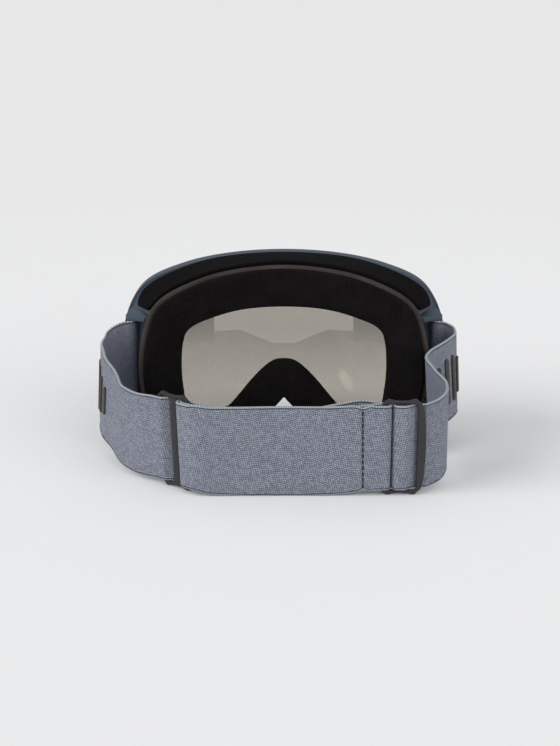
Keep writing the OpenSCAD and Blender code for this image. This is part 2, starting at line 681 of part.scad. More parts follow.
// The rows cross the sewn folds, and the end tails where they lie on the strap
sewn_at = strap_steps + 2;
module left_bar_stitches() { stitches(left_strap, left_tips, mark(left_parts, 1) + sewn_at, -1); }
module right_bar_stitches() {
  stitches(right_strap, right_tips, mark(right_parts, 1) + sewn_at, 1);
}
module right_tail_stitches() {
  stitches(left_strap, left_tips, mark(left_parts, 5) - 2, -1);
}
module left_tail_stitches() {
  stitches(right_strap, right_tips, mark(right_parts, 6) + 1, -1);
}

// Raised rubber ribs on the outer face of each side, long in the middle and short at the ends
module ribs(path, tip, first, side) {
  color("#3c3a36")
    for (i = [0:rib_count - 1]) {
      h = rib_h * (1 - 0.45 * abs(2 * i / (rib_count - 1) - 1));
      panel(path, tip, first + i * 2, rib_w, h, rib_t, (strap_w - h) / 2,
        side * (strap_t / 2 + rib_t / 2 + print_gap));
    }
}
module left_ribs() { ribs(left_strap, left_tips, mark(left_parts, 1) + 7, -1); }
module right_ribs() { ribs(right_strap, right_tips, mark(right_parts, 1) + 10, 1); }

translate(concat(mid, [0])) {
  frame();
  outer_lens();
  inner_lens();
  lens_gasket();
  brow_vent_foam();
  left_vent_foam();
  right_vent_foam();
  face_foam();
  fleece_lining();
  left_side_strap();
  left_strap_run();
  left_threaded_strap();
  outer_back_strap();
  right_strap_tail();
  right_side_strap();
  right_strap_run();
  right_threaded_strap();
  inner_back_strap();
  left_strap_tail();
  left_slider();
  right_slider();
  left_bar_stitches();
  right_bar_stitches();
  left_tail_stitches();
  right_tail_stitches();
  left_ribs();
  right_ribs();
}
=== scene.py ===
import math

import bmesh
import bpy
import numpy as np
from mathutils import Color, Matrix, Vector

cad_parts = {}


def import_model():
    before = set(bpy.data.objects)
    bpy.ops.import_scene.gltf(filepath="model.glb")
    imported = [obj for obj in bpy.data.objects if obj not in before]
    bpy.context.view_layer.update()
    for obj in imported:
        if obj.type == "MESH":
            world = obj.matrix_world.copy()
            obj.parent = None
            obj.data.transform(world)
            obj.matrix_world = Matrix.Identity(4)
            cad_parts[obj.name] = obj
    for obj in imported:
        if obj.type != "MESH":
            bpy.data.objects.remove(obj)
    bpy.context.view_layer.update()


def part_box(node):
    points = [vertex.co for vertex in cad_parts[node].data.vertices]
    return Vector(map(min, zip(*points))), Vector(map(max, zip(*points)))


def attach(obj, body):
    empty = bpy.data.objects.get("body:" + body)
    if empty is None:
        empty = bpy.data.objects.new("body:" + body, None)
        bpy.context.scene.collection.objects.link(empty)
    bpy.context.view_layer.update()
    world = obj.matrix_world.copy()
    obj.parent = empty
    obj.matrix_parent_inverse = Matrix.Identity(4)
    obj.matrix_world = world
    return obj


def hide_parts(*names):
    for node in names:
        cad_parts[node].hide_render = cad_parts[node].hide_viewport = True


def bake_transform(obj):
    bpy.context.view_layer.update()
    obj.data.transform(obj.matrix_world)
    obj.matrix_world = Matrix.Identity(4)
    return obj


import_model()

# Sizes in millimetres, as the solids have them

FRAME_W, FRAME_H, NOSE_RISE, WRAP_R = 168, 99, 27, 150
RIM_DEPTH, WALL_DEPTH, WALL, GROOVE, LIP, FOOT_CUT = 17, 21.5, 2.5, 2.7, 5.5, 0.6
SIDE_STEP, BROW_STEP, CHEEK_STEP = 10.5, 1.7, 3
VENT_COUNT, VENT_W, VENT_PITCH, LOW_VENT_COUNT, VENT_FOAM_T = 8, 9, 14, 2, 2
OUTER_LENS_T, INNER_LENS_T, GASKET_W, GASKET_T, FRONT_LIP_T = 1.2, 0.9, 4, 3.4, 2
FOAM_T, FLEECE_T = 9.2, 2
FOAM_SIDE, FOAM_BROW, FOAM_CHEEK, FOAM_NOSE = 20.5, 21, 16, 19.5
STRAP_W, STRAP_T, BAR_R, BAR_OUT, BAR_BEHIND, STRAP_RISE = 42, 1.5, 1.7, 6, 9, 27
HEAD_ROOM, FOLD_LEN, LEFT_SWING, RIGHT_SWING = 65, 7, 15, 9.4
SLIDER_BAR, SLIDER_T, SLOT_PLAY, RAIL, PEAK, BOW = 4.4, 2, 0.45, 1.6, 0.9, 1
RIGHT_SLIDER_X, LEFT_SLIDER_X, LEFT_SLIDER_IN, LEFT_TURN = 55, 52, 9.8, -37
THREAD, STITCH, STITCH_PITCH = 0.5, 2.5, 3
RIB_COUNT, RIB_W, RIB_H, RIB_T = 6, 2, 26, 0.6
GAP, SNUG, FACE_Y = 0.3, 0.25, 7

# Depths of the frame and what it holds, from the back to the front
FLEECE_BACK = FACE_Y
FLEECE_FRONT = FLEECE_BACK + FLEECE_T
FOAM_BACK = FLEECE_FRONT + GAP
FOAM_FRONT = FOAM_BACK + FOAM_T
FLANGE_BACK = FOAM_FRONT + GAP
FLANGE_FRONT = FLANGE_BACK + WALL
RIM_BACK = FLANGE_FRONT + WALL_DEPTH
RIM_FRONT = RIM_BACK + RIM_DEPTH
LIP_BACK = RIM_FRONT - FRONT_LIP_T
OUTER_LENS_FRONT = LIP_BACK - GAP
GASKET_FRONT = OUTER_LENS_FRONT - OUTER_LENS_T - GAP
INNER_LENS_FRONT = GASKET_FRONT - GASKET_T - GAP
GROOVE_BACK = INNER_LENS_FRONT - INNER_LENS_T - GAP

# The middle plane of the goggles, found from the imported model
MM = 0.001
lens_low, lens_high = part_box("outer_lens")
MID = np.array([(lens_low.x + lens_high.x) / 2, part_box("frame")[1].y - RIM_FRONT * MM, 0])


def place(points):
    """Points in millimetres from the middle plane, as metres in the frame."""
    return np.asarray(points, float) * MM + MID


# Outlines, as half outlines from the middle of the brow round to the notch over the nose

HALF_W = FRAME_W / 2
FOAM_HALF_W = HALF_W - SIDE_STEP
FOAM_TOP = FRAME_H - BROW_STEP
EYE_HALF_W = FOAM_HALF_W - FOAM_SIDE
EYE_TOP = FOAM_TOP - FOAM_BROW
EYE_LOW = CHEEK_STEP + FOAM_CHEEK
EYE_ARCH = NOSE_RISE + FOAM_NOSE


def scaled(width, height, points):
    """Points written as shares of a half width and of a height."""
    return [(x * width, z * height) for x, z in points]


RIM_HALF = scaled(HALF_W, FRAME_H, [
    (0, 1), (0.36, 0.985), (0.65, 0.942), (0.88, 0.86), (0.985, 0.69), (1, 0.49), (0.965, 0.27),
    (0.82, 0.08), (0.57, 0), (0.33, 0.045)])
RIM_HALF += scaled(HALF_W, NOSE_RISE, [(0.11, 0.64), (0.025, 0.92), (0, 1)])
FOAM_HALF = scaled(FOAM_HALF_W, FOAM_TOP, [
    (0, 1), (0.385, 0.975), (0.66, 0.92), (0.875, 0.835), (0.965, 0.69), (1, 0.5), (0.97, 0.3),
    (0.85, 0.115)])
FOAM_HALF += [(0.62 * FOAM_HALF_W, CHEEK_STEP), (0.36 * FOAM_HALF_W, CHEEK_STEP + 0.02 * FOAM_TOP)]
FOAM_HALF += scaled(FOAM_HALF_W, NOSE_RISE, [(0.13, 0.64), (0.028, 0.92), (0, 1)])
EYE_HALF = scaled(EYE_HALF_W, EYE_TOP, [
    (0, 1), (0.39, 0.985), (0.7, 0.935), (0.91, 0.87), (0.98, 0.76), (1, 0.61), (0.99, 0.45)])
EYE_HALF += [(x * EYE_HALF_W, EYE_LOW + rise * FOAM_CHEEK)
             for x, rise in ((0.94, 0.2), (0.75, 0), (0.57, 0.1))]
EYE_HALF += scaled(EYE_HALF_W, EYE_ARCH, [(0.3, 0.79), (0.13, 0.965), (0, 1)])
# Steps between neighbouring points of an outline and of a strap's path
OUTLINE_STEPS, STRAP_STEPS = 12, 14


def unit(v):
    v = np.asarray(v, float)
    return v / np.maximum(np.linalg.norm(v, axis=-1, keepdims=True), 1e-9)


def spread(count, pitch):
    """Places at an even pitch about zero."""
    return [(i - (count - 1) / 2) * pitch for i in range(count)]


def ease(t):
    """A share from 0 to 1 with a soft start and a soft end."""
    t = np.clip(t, 0, 1)
    return t ** 2 * (3 - 2 * t)


def curve(points, steps, closed=False):
    """A smooth curve through points, with the given number of steps from each to the next."""
    p = np.asarray(points, float)
    n = len(p)
    made = []
    for i in range(n if closed else n - 1):
        a, b, c, d = (p[k % n if closed else min(max(k, 0), n - 1)] for k in range(i - 1, i + 3))
        made += [0.5 * (2 * b + (c - a) * t + (2 * a - 5 * b + 4 * c - d) * t ** 2
                        + (3 * b - a - 3 * c + d) * t ** 3) for t in np.arange(steps) / steps]
    return np.array(made if closed else made + [p[-1]])


def full_line(half):
    """The whole outline of which half is given."""
    return curve(half + [(-x, z) for x, z in half[-2:0:-1]], OUTLINE_STEPS, True)


rim_line = full_line(RIM_HALF)
rim_line[:, 1] = np.maximum(rim_line[:, 1], FOOT_CUT) - FOOT_CUT
foam_line = full_line(FOAM_HALF)
eye_line = full_line(EYE_HALF)
LINE_N = len(rim_line)
inward = unit(eye_line - rim_line)
foam_inward = unit(eye_line - foam_line)

# How far the brow's vents reach along the outline, in its points, and the frame's section
BROW_REACH = 3.5
RIM_LEDGE, WALL_OUT, WALL_IN, FLANGE_W, LINING_IN = 1.8, 0.3, 1.8, 9, 1.6
# Past the brow the wall turns from the rim's outline to the foam's, all but this share at the brow
LEAST_FLARE = 0.3
station = np.arange(LINE_N)
past_brow = np.minimum(station, LINE_N - station) - (BROW_REACH + 0.25) * OUTLINE_STEPS
straight = (1 - LEAST_FLARE) * ease(past_brow / (OUTLINE_STEPS / 2))[:, None]

LINES = {
    "rim": lambda d: rim_line + inward * d,
    "foam": lambda d: foam_line + foam_inward * d,
    "eye": lambda d: eye_line - foam_inward * d,
    "lining": lambda d: foam_line
    + foam_inward * (d + LINING_IN * (foam_line[:, :1] / FOAM_HALF_W) ** 2),
    "wall": lambda d: (rim_line + inward * (RIM_LEDGE + d)) * (1 - straight)
    + (foam_line + foam_inward * (WALL_OUT + d)) * straight,
}


def fall(x):
    """How far the curve round the face falls back at a distance x from the middle."""
    return WRAP_R - np.sqrt(WRAP_R ** 2 - np.square(x))


def corner_ring(which, d, y):
    """A line of the frame at an inset and a depth, on the curve round the face."""
    line = LINES[which](d)
    return np.column_stack([line[:, 0], y - fall(line[:, 0]), line[:, 1]])


# A rounded corner's steps, and the share of a side that it may take up
CORNER_STEPS, CORNER_SHARE = 4, 0.48


def rounded_rings(section):
    """Rings of points round the outline for a section whose corners are (line, inset, y, radius)."""
    corners = [corner_ring(*c[:3]) for c in section]
    rings = []
    for k, (c, (_, _, _, radius)) in enumerate(zip(corners, section)):
        if radius == 0:
            rings.append(c)
            continue
        ends = []
        for other in (corners[k - 1], corners[(k + 1) % len(corners)]):
            reach = np.minimum(radius, CORNER_SHARE * np.linalg.norm(other - c, axis=1))
            ends.append(c + unit(other - c) * reach[:, None])
        for t in np.linspace(0, 1, CORNER_STEPS + 1):
            rings.append((1 - t) ** 2 * ends[0] + 2 * t * (1 - t) * c + t ** 2 * ends[1])
    return np.stack(rings, axis=1)


# Meshes


def make_object(name, points, faces, sharp=(), uvs=None):
    """A mesh object from points in metres. Faces shade smooth, except over the edges in sharp."""
    mesh = bpy.data.meshes.new(name)
    mesh.from_pydata([tuple(p) for p in points], [], faces)
    mesh.polygons.foreach_set("use_smooth", [True] * len(mesh.polygons))
    if sharp:
        flags = [edge.key in sharp for edge in mesh.edges]
        mesh.attributes.new("sharp_edge", "BOOLEAN", "EDGE").data.foreach_set("value", flags)
    if uvs is not None:
        layer = mesh.uv_layers.new(name="cloth")
        layer.data.foreach_set("uv", np.asarray(uvs, np.float32).ravel())
    mesh.update()
    obj = bpy.data.objects.new(name, mesh)
    bpy.context.scene.collection.objects.link(obj)
    return obj


def grid_faces(n, m, closed=True):
    """Quads over n rings of m points. Closed, the last ring meets the first."""
    a, b = np.meshgrid(np.arange(n if closed else n - 1), np.arange(m), indexing="ij")
    a2, b2 = (a + 1) % n, (b + 1) % m
    quads = np.stack([a * m + b, a * m + b2, a2 * m + b2, a2 * m + b], axis=-1)
    return quads.reshape(-1, 4).tolist()


def ring_object(name, rings):
    """A skin over closed rings of points, of which the last meets the first."""
    return make_object(name, place(rings.reshape(-1, 3)), grid_faces(*rings.shape[:2]))


def tube_object(name, rings, uvs=None):
    """A skin over open rings of points, closed by a flat cap at each end."""
    n, m = rings.shape[:2]
    caps = [list(range(m))[::-1], list(range((n - 1) * m, n * m))]
    faces = grid_faces(n, m, closed=False) + caps
    sharp = {tuple(sorted(pair)) for cap in caps for pair in zip(cap, cap[1:] + cap[:1])}
    return make_object(name, place(rings.reshape(-1, 3)), faces, sharp, uvs)


def join(name, objects):
    """One object from several, in one mesh."""
    points, faces, sharp = [], [], set()
    for o in objects:
        mesh, base = o.data, len(points)
        sharp |= {(base + e.key[0], base + e.key[1]) for e in mesh.edges if e.use_edge_sharp}
        points += [v.co.copy() for v in mesh.vertices]
        faces += [[base + v for v in p.vertices] for p in mesh.polygons]
        bpy.data.objects.remove(o)
    return make_object(name, points, faces, sharp)


def cut_away(obj, cutters):
    """Cuts each cutter's shape out of the object, for good."""
    cutter = join("cutter", cutters)
    modifier = obj.modifiers.new("cut", "BOOLEAN")
    modifier.operation = "DIFFERENCE"
    modifier.solver = "EXACT"
    modifier.object = cutter
    graph = bpy.context.evaluated_depsgraph_get()
    mesh = bpy.data.meshes.new_from_object(obj.evaluated_get(graph))
    obj.modifiers.clear()
    obj.data = mesh
    bpy.data.objects.remove(cutter)


def prism(name, outline, low, high):
    """An upright prism over a plan outline."""
    return tube_object(name, np.stack([np.column_stack([outline, np.full(len(outline), z)])
                                       for z in (low, high)]))


def arc(centre, r, a, b, n):
    t = np.radians(np.linspace(a, b, n + 1))
    return np.asarray(centre, float) + r * np.column_stack([np.cos(t), np.sin(t)])


# Materials


# The range in which most of a noise texture's values lie
NOISE_LOW, NOISE_HIGH = 0.3, 0.7


class Shader:
    """The nodes of a new material or world, with short calls to add to them."""

    def __init__(self, owner):
        self.owner = owner
        owner.use_nodes = True
        self.nodes, self.links = owner.node_tree.nodes, owner.node_tree.links
        self.surface = self.nodes.get("Principled BSDF")

    def node(self, kind, **inputs):
        made = self.nodes.new("ShaderNode" + kind)
        for key, value in inputs.items():
            self.feed(made.inputs[key.replace("_", " ")], value)
        return made

    def feed(self, socket, value):
        """Links a value that is a socket, and sets any other. A colour is written as 0 to 255."""
        if isinstance(value, bpy.types.NodeSocket):
            self.links.new(value, socket)
        else:
            socket.default_value = colour(value) if isinstance(value, (tuple, list)) else value

    def set(self, tone, roughness, specular=0.5, **others):
        """Sets the surface's colour, roughness and gloss, and others by name, with _ for a space."""
        values = {"Base Color": tone, "Roughness": roughness, "Specular IOR Level": specular}
        values |= {key.replace("_", " "): value for key, value in others.items()}
        for key, value in values.items():
            self.feed(self.surface.inputs[key], value)

    def math(self, operation, a, b=0.0):
        made = self.node("Math")
        made.operation = operation
        for socket, value in zip(made.inputs, (a, b)):
            self.feed(socket, value)
        return made.outputs[0]

    def plus(self, a, b):
        return self.math("ADD", a, b)

    def minus(self, a, b):
        return self.math("SUBTRACT", a, b)

    def times(self, a, b):
        return self.math("MULTIPLY", a, b)

    def between(self, value, low, high, to_low=0.0, to_high=1.0):
        made = self.node("MapRange")
        for socket, v in zip(made.inputs, (value, low, high, to_low, to_high)):
            self.feed(socket, v)
        return made.outputs[0]

    def drift(self, noise, to_low=0.0, to_high=1.0):
        """A noise spread over a range."""
        return self.between(noise, NOISE_LOW, NOISE_HIGH, to_low, to_high)

    def mix(self, share, a, b):
        """A mix of two colours."""
        made = self.node("Mix")
        made.data_type = "RGBA"
        for socket, v in zip((made.inputs[0], *made.inputs[6:8]), (share, a, b)):
            self.feed(socket, v)
        return made.outputs[2]

    def place(self):
        """Where the surface lies on the object, in metres."""
        return self.node("TexCoord").outputs["Object"]

    def noise(self, scale, detail=2.0, roughness=0.5, vector=None):
        return self.node("TexNoise", Scale=scale, Detail=detail, Roughness=roughness,
                         Vector=vector or self.place()).outputs[0]

    def bump(self, height, strength, distance):
        made = self.node("Bump", Height=height, Strength=strength, Distance=distance)
        self.feed(self.surface.inputs["Normal"], made.outputs[0])


def new_material(name):
    return Shader(bpy.data.materials.new(name))


def colour(rgb):
    """A colour written as 0 to 255, as the renderer's own numbers."""
    return *Color([v / 255 for v in rgb]).from_srgb_to_scene_linear(), 1.0


def toned(rgb, share):
    """A colour made lighter or darker."""
    return [v * share for v in rgb]


def grained_material(name, dark, light, grain, rough, bump, patches=None, specular=0.5, sheen=0.0):
    """Plastic, rubber or thread with a fine grain. Its tone follows the patches, or else the grain."""
    s = new_material(name)
    fine = s.noise(*grain)
    s.set(s.mix(s.drift(s.noise(*patches)) if patches else fine, dark, light),
          s.drift(fine, *rough) if isinstance(rough, tuple) else rough, specular, Sheen_Weight=sheen)
    s.bump(fine, *bump)
    return s.owner


def frame_material():
    s = new_material("moulded frame")
    broad = s.noise(28, 3)
    fine = s.noise(2600, 3, 0.6)
    tone = s.mix(s.drift(broad), (70, 81, 91), (77, 88, 98))
    s.set(s.mix(s.between(fine, 0.35, 0.75, 0, 0.35), tone, (85, 96, 106)),
          s.drift(broad, 0.62, 0.7), 0.1)
    s.bump(fine, 0.12, 0.0002)
    return s.owner


# Painted reflections on the inner lens, as soft pale bands, in metres: their lower edge, its dip in the
# middle, and their ends
REFLECTION_LOW, REFLECTION_HIGH, REFLECTION_DIP_IN, REFLECTION_DIP_OUT, REFLECTION_END, REFLECTION_EDGE = (
    0.0456, 0.0536, 0.006, 0.024, 0.0378, 0.0006)
# The height over which painted shade darkens the lens beyond the bands' ends
PAINTED_SHADE_HIGH = REFLECTION_HIGH + 0.008
# A soft glint on the inner lens, in metres, and its slant
GLINT_X, GLINT_Z, GLINT_W, GLINT_H, GLINT_SLANT = 0.0345, 0.0255, 0.0042, 0.0075, 0.7


def lens_material(name, tint, sheen):
    """Tinted plastic, darker towards the top in painted shade. With sheen, it has painted reflections as
    a curved lens shows them: soft pale bands, painted shade beyond their ends, and a painted glint.
    """
    s = new_material(name)
    split = s.node("SeparateXYZ", Vector=s.place())
    height = split.outputs[2]
    haze = s.noise(9, 2)
    # Painted shade: the lens is darker towards the top, with a random haze mixed in.
    shade = s.plus(s.between(height, 0.02, 0.055), s.drift(haze, -0.15, 0.15))
    tone = s.mix(shade, toned(tint, 1.05), toned(tint, 0.93))
    if sheen:
        across = s.math("ABSOLUTE", s.minus(split.outputs[0], MID[0]))
        # Painted reflection: a soft pale band over the lens, above a line that dips in the middle.
        brow = s.between(across, REFLECTION_DIP_IN, REFLECTION_DIP_OUT, REFLECTION_LOW, REFLECTION_HIGH)
        above = s.between(s.minus(height, brow), 0, REFLECTION_EDGE)
        beside = s.between(across, REFLECTION_END, REFLECTION_END + REFLECTION_EDGE)
        painted_reflection = s.times(above, s.minus(1.0, beside))
        tone = s.mix(painted_reflection, tone, toned(tint, 1.07))
        # Painted shade: the lens darker beyond the ends of the painted bands.
        corner = s.times(beside, s.between(height, REFLECTION_LOW, PAINTED_SHADE_HIGH))
        tone = s.mix(corner, tone, toned(tint, 0.84))
        # Painted glint: a soft, slanted bright spot on the inner lens.
        side = s.math("DIVIDE", s.minus(split.outputs[0], MID[0] + GLINT_X), GLINT_W)
        rise = s.math("DIVIDE", s.minus(height, GLINT_Z), GLINT_H)
        slant = s.plus(side, s.times(rise, GLINT_SLANT))
        off = s.math("SQRT", s.plus(s.times(slant, slant), s.times(rise, rise)))
        tone = s.mix(s.between(off, 0.45, 1.0, 0.8, 0.0), tone, toned(tint, 1.13))
    s.set(tone, s.between(haze, 0.35, 0.65, 0.0, 0.004), IOR=1.45, Transmission_Weight=1.0)
    return s.owner


def foam_material(name, dark, light, pore, depth):
    """Open foam: cells of the given size in metres, with darker pores."""
    s = new_material(name)
    cells, small = (s.node("TexVoronoi", Scale=scale, Vector=s.place()).outputs[0]
                    for scale in (1 / pore, 2.3 / pore))
    pores = s.times(cells, small)
    tone = s.mix(s.drift(s.noise(60, 3)), dark, light)
    s.set(s.mix(s.between(pores, 0.0, 0.3, 0.55, 0.0), tone, toned(dark, 0.45)), 0.95, 0.05)
    s.bump(pores, 0.6, depth)
    return s.owner


def fleece_material():
    s = new_material("fleece")
    tufts = s.noise(1500, 4, 0.7)
    tone = s.mix(s.drift(s.noise(90, 3)), (16, 14, 15), (24, 22, 23))
    s.set(s.mix(s.between(tufts, 0.45, 0.8), tone, (36, 33, 34)), 1.0, 0.02, Sheen_Weight=0.01,
          Sheen_Roughness=0.6)
    s.bump(tufts, 0.8, 0.0006)
    return s.owner


# Figures on the inner face of the cloth start at this height of its map
INNER_FACE = 100
# The weave's columns and rows, how they lean, the pale edge, the dark line beside it, and its ticks
WEAVE_U, WEAVE_V, STITCH_LEAN, EDGE_BAND, EDGE_LINE, EDGE_TICK = 1.05, 0.9, 0.2, 0.7, 0.5, 1.1


def webbing_material():
    """Woven elastic: a fine speckled twill on the outer face, a soft knit inside, pale selvedges."""
    s = new_material("elastic webbing")
    cloth = s.node("UVMap")
    cloth.uv_map = "cloth"
    cloth = cloth.outputs[0]
    split = s.node("SeparateXYZ", Vector=cloth)
    u, raw = split.outputs[0], split.outputs[1]
    inner = s.math("GREATER_THAN", raw, INNER_FACE / 2)
    v = s.minus(raw, s.times(inner, INNER_FACE))
    jitter = s.noise(1.7, 1, vector=cloth)
    wander = s.plus(s.times(s.noise(0.5, 2, vector=cloth), 0.35), s.times(jitter, 0.4))

    def white(x, y):
        spot = s.node("CombineXYZ", X=x, Y=y).outputs[0]
        return s.node("TexWhiteNoise", Vector=spot).outputs[0]

    def dome(turns):
        part = s.math("FRACT", turns)
        return s.times(s.times(part, s.minus(1.0, part)), 4.0)

    lean = s.plus(s.plus(u, wander), s.times(v, STITCH_LEAN))
    column = s.math("DIVIDE", lean, WEAVE_U)
    start = white(s.math("FLOOR", column), 0.5)
    slip = s.plus(start, s.times(jitter, 0.35))
    row = s.plus(s.math("DIVIDE", v, WEAVE_V), slip)
    speck = white(s.math("FLOOR", column), s.math("FLOOR", row))
    dots = s.times(s.math("SQRT", dome(column)), dome(row))
    lit = s.plus(s.times(dots, 1.3), s.times(speck, 0.4))
    field = s.mix(s.between(lit, 0.12, 1.68), (47, 51, 66), (163, 168, 180))
    broad = s.noise(0.06, 3, vector=cloth)
    field = s.mix(s.between(broad, 0.35, 0.7, 0, 0.06), field, (128, 133, 148))
    knit_lit = s.plus(s.times(lit, 0.3), s.noise(0.9, 3, 0.6, vector=cloth))
    knit = s.mix(s.between(knit_lit, 0.4, 1.2), (94, 98, 112), (136, 140, 154))
    face = s.mix(inner, field, knit)
    from_edge = s.math("MINIMUM", v, s.minus(STRAP_W, v))
    edge = s.math("LESS_THAN", from_edge, EDGE_BAND)
    beside = s.minus(s.math("LESS_THAN", from_edge, EDGE_BAND + EDGE_LINE), edge)
    ticks = s.math("SINE", s.times(u, math.tau / EDGE_TICK))
    selvedge = s.mix(s.between(ticks, -1, 1), (118, 126, 134), (176, 184, 188))
    face = s.mix(s.times(beside, 0.9), face, (44, 47, 58))
    s.set(s.mix(edge, face, selvedge), 0.88, 0.15, Sheen_Weight=0.08, Sheen_Roughness=0.5)
    quiet = s.minus(1.0, s.times(edge, 0.6))
    s.bump(s.times(lit, quiet), 0.5, 0.00018)
    return s.owner


FRAME_SHELL = frame_material()
OUTER_TINT = lens_material("outer lens tint", (214, 211, 204), False)
INNER_TINT_WITH_PAINTED_REFLECTIONS = lens_material("inner lens tint with painted reflections", (216, 213, 207), True)
VENT_FOAM = foam_material("vent foam", (17, 15, 16), (24, 22, 23), 0.0009, 0.0005)
FACE_FOAM = foam_material("face foam", (60, 54, 49), (76, 70, 65), 0.0006, 0.0003)
FLEECE = fleece_material()
WEBBING = webbing_material()
GASKET = grained_material("gasket rubber", (20, 20, 21), (32, 32, 34), (1800, 2), 0.7, (0.2, 0.0002))
SLIDER = grained_material("slider plastic", (38, 38, 40), (46, 46, 49), (3200, 3, 0.6), (0.38, 0.5),
                          (0.15, 0.0001), patches=(50, 2), specular=0.4)
PRINT = grained_material("raised rubber print", (52, 49, 44), (66, 62, 56), (2500, 2), (0.5, 0.68),
                         (0.2, 0.0001), patches=(140, 3))
GREY_THREAD, DARK_THREAD = (
    grained_material(name, dark, light, (2400, 2), 0.8, (0.5, 0.0001), sheen=0.1)
    for name, dark, light in (("grey thread", (84, 88, 100), (108, 112, 124)),
                              ("dark thread", (16, 17, 23), (27, 28, 36))))


def finish_piece(obj, material, body, node):
    """Gives a piece its material, hides the CAD node that it stands for, and attaches it to its body if
    it has one.
    Its faces are turned outwards first."""
    mesh = bmesh.new()
    mesh.from_mesh(obj.data)
    bmesh.ops.recalc_face_normals(mesh, faces=mesh.faces)
    mesh.to_mesh(obj.data)
    mesh.free()
    obj.data.materials.append(material)
    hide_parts(node)
    if body:
        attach(obj, body)


# Frame: a soft moulded ring with its vents, and a bracket with a bar for each strap

FRAME_SECTION = [
    ("foam", WALL_IN, FLANGE_BACK, 0.5), ("foam", WALL_IN, FLANGE_FRONT, 1.0),
    ("wall", 0, RIM_BACK, 1.2), ("rim", 0, RIM_BACK, 1.2), ("rim", 0, RIM_FRONT - 6, 3),
    ("rim", 1.2, RIM_FRONT - 2, 1.6), ("rim", 2.6, RIM_FRONT, 1.0), ("rim", LIP, RIM_FRONT, 0.7),
    ("rim", LIP, LIP_BACK, 0.3), ("rim", GROOVE, LIP_BACK, 0),
    ("rim", GROOVE, GROOVE_BACK, 0), ("rim", LIP, GROOVE_BACK, 0.3),
    ("rim", LIP, RIM_BACK + WALL, 0.8), ("wall", WALL, RIM_BACK + WALL, 0.8),
    ("foam", WALL_IN + WALL, FLANGE_FRONT, 0.6), ("foam", FLANGE_W, FLANGE_FRONT, 0.5),
    ("foam", FLANGE_W, FLANGE_BACK, 0.5),
]
# The vent slots: the wall left beside them, how far their cutters reach, and the lower ones' place
VENT_MARGIN, SLOT_OVER, SLOT_UNDER, LOW_VENT_X = 7, 5, 4, 0.57 * HALF_W
# The strap's bracket, and how high the panel over it rises
ARM_T, ARM_R, SHOULDER, PANEL_H, ARM_BEVEL = 2, 2.1, 1.2, 6.5, 1.0
FOLD_R = BAR_R + SNUG + STRAP_T / 2
BAR_X = FOAM_HALF_W + BAR_OUT
BAR_Y = RIM_BACK - float(fall(BAR_X)) - BAR_BEHIND


def slot_cutter(x, low, high):
    y = FLANGE_FRONT + WALL_DEPTH / 2 - float(fall(x))
    half = (WALL_DEPTH - VENT_MARGIN - VENT_W) / 2
    outline = np.vstack([arc((x, y + side * half), VENT_W / 2, turn, turn + 180, 12)
                         for side, turn in ((1, 0), (-1, 180))])
    return prism("slot", outline, low, high)


def frame_shell():
    shell = ring_object("frame_shell", rounded_rings(FRAME_SECTION))
    cutters = [slot_cutter(x, EYE_TOP + SLOT_OVER, FRAME_H + SLOT_OVER)
               for x in spread(VENT_COUNT, VENT_PITCH)]
    cutters += [slot_cutter(side * (LOW_VENT_X + x), -1, EYE_LOW - SLOT_UNDER)
                for side in (-1, 1) for x in spread(LOW_VENT_COUNT, VENT_PITCH)]
    cut_away(shell, cutters)
    finish_piece(shell, FRAME_SHELL, "root", "frame")


def hull_object(points, bevel):
    """The solid round a cloud of points, with softened edges."""
    mesh = bmesh.new()
    for p in place(points):
        mesh.verts.new(p)
    made = bmesh.ops.convex_hull(mesh, input=mesh.verts)
    loose = {v for v in made["geom_interior"] + made["geom_unused"] if isinstance(v, bmesh.types.BMVert)}
    bmesh.ops.delete(mesh, geom=list(loose), context="VERTS")
    bmesh.ops.dissolve_limit(mesh, angle_limit=math.radians(1), verts=mesh.verts, edges=mesh.edges)
    bmesh.ops.bevel(mesh, geom=list(mesh.edges), offset=bevel * MM, segments=3, profile=0.5,
                    affect="EDGES", clamp_overlap=True)
    obj = make_object("hull", [], [])
    mesh.to_mesh(obj.data)
    mesh.free()
    return obj


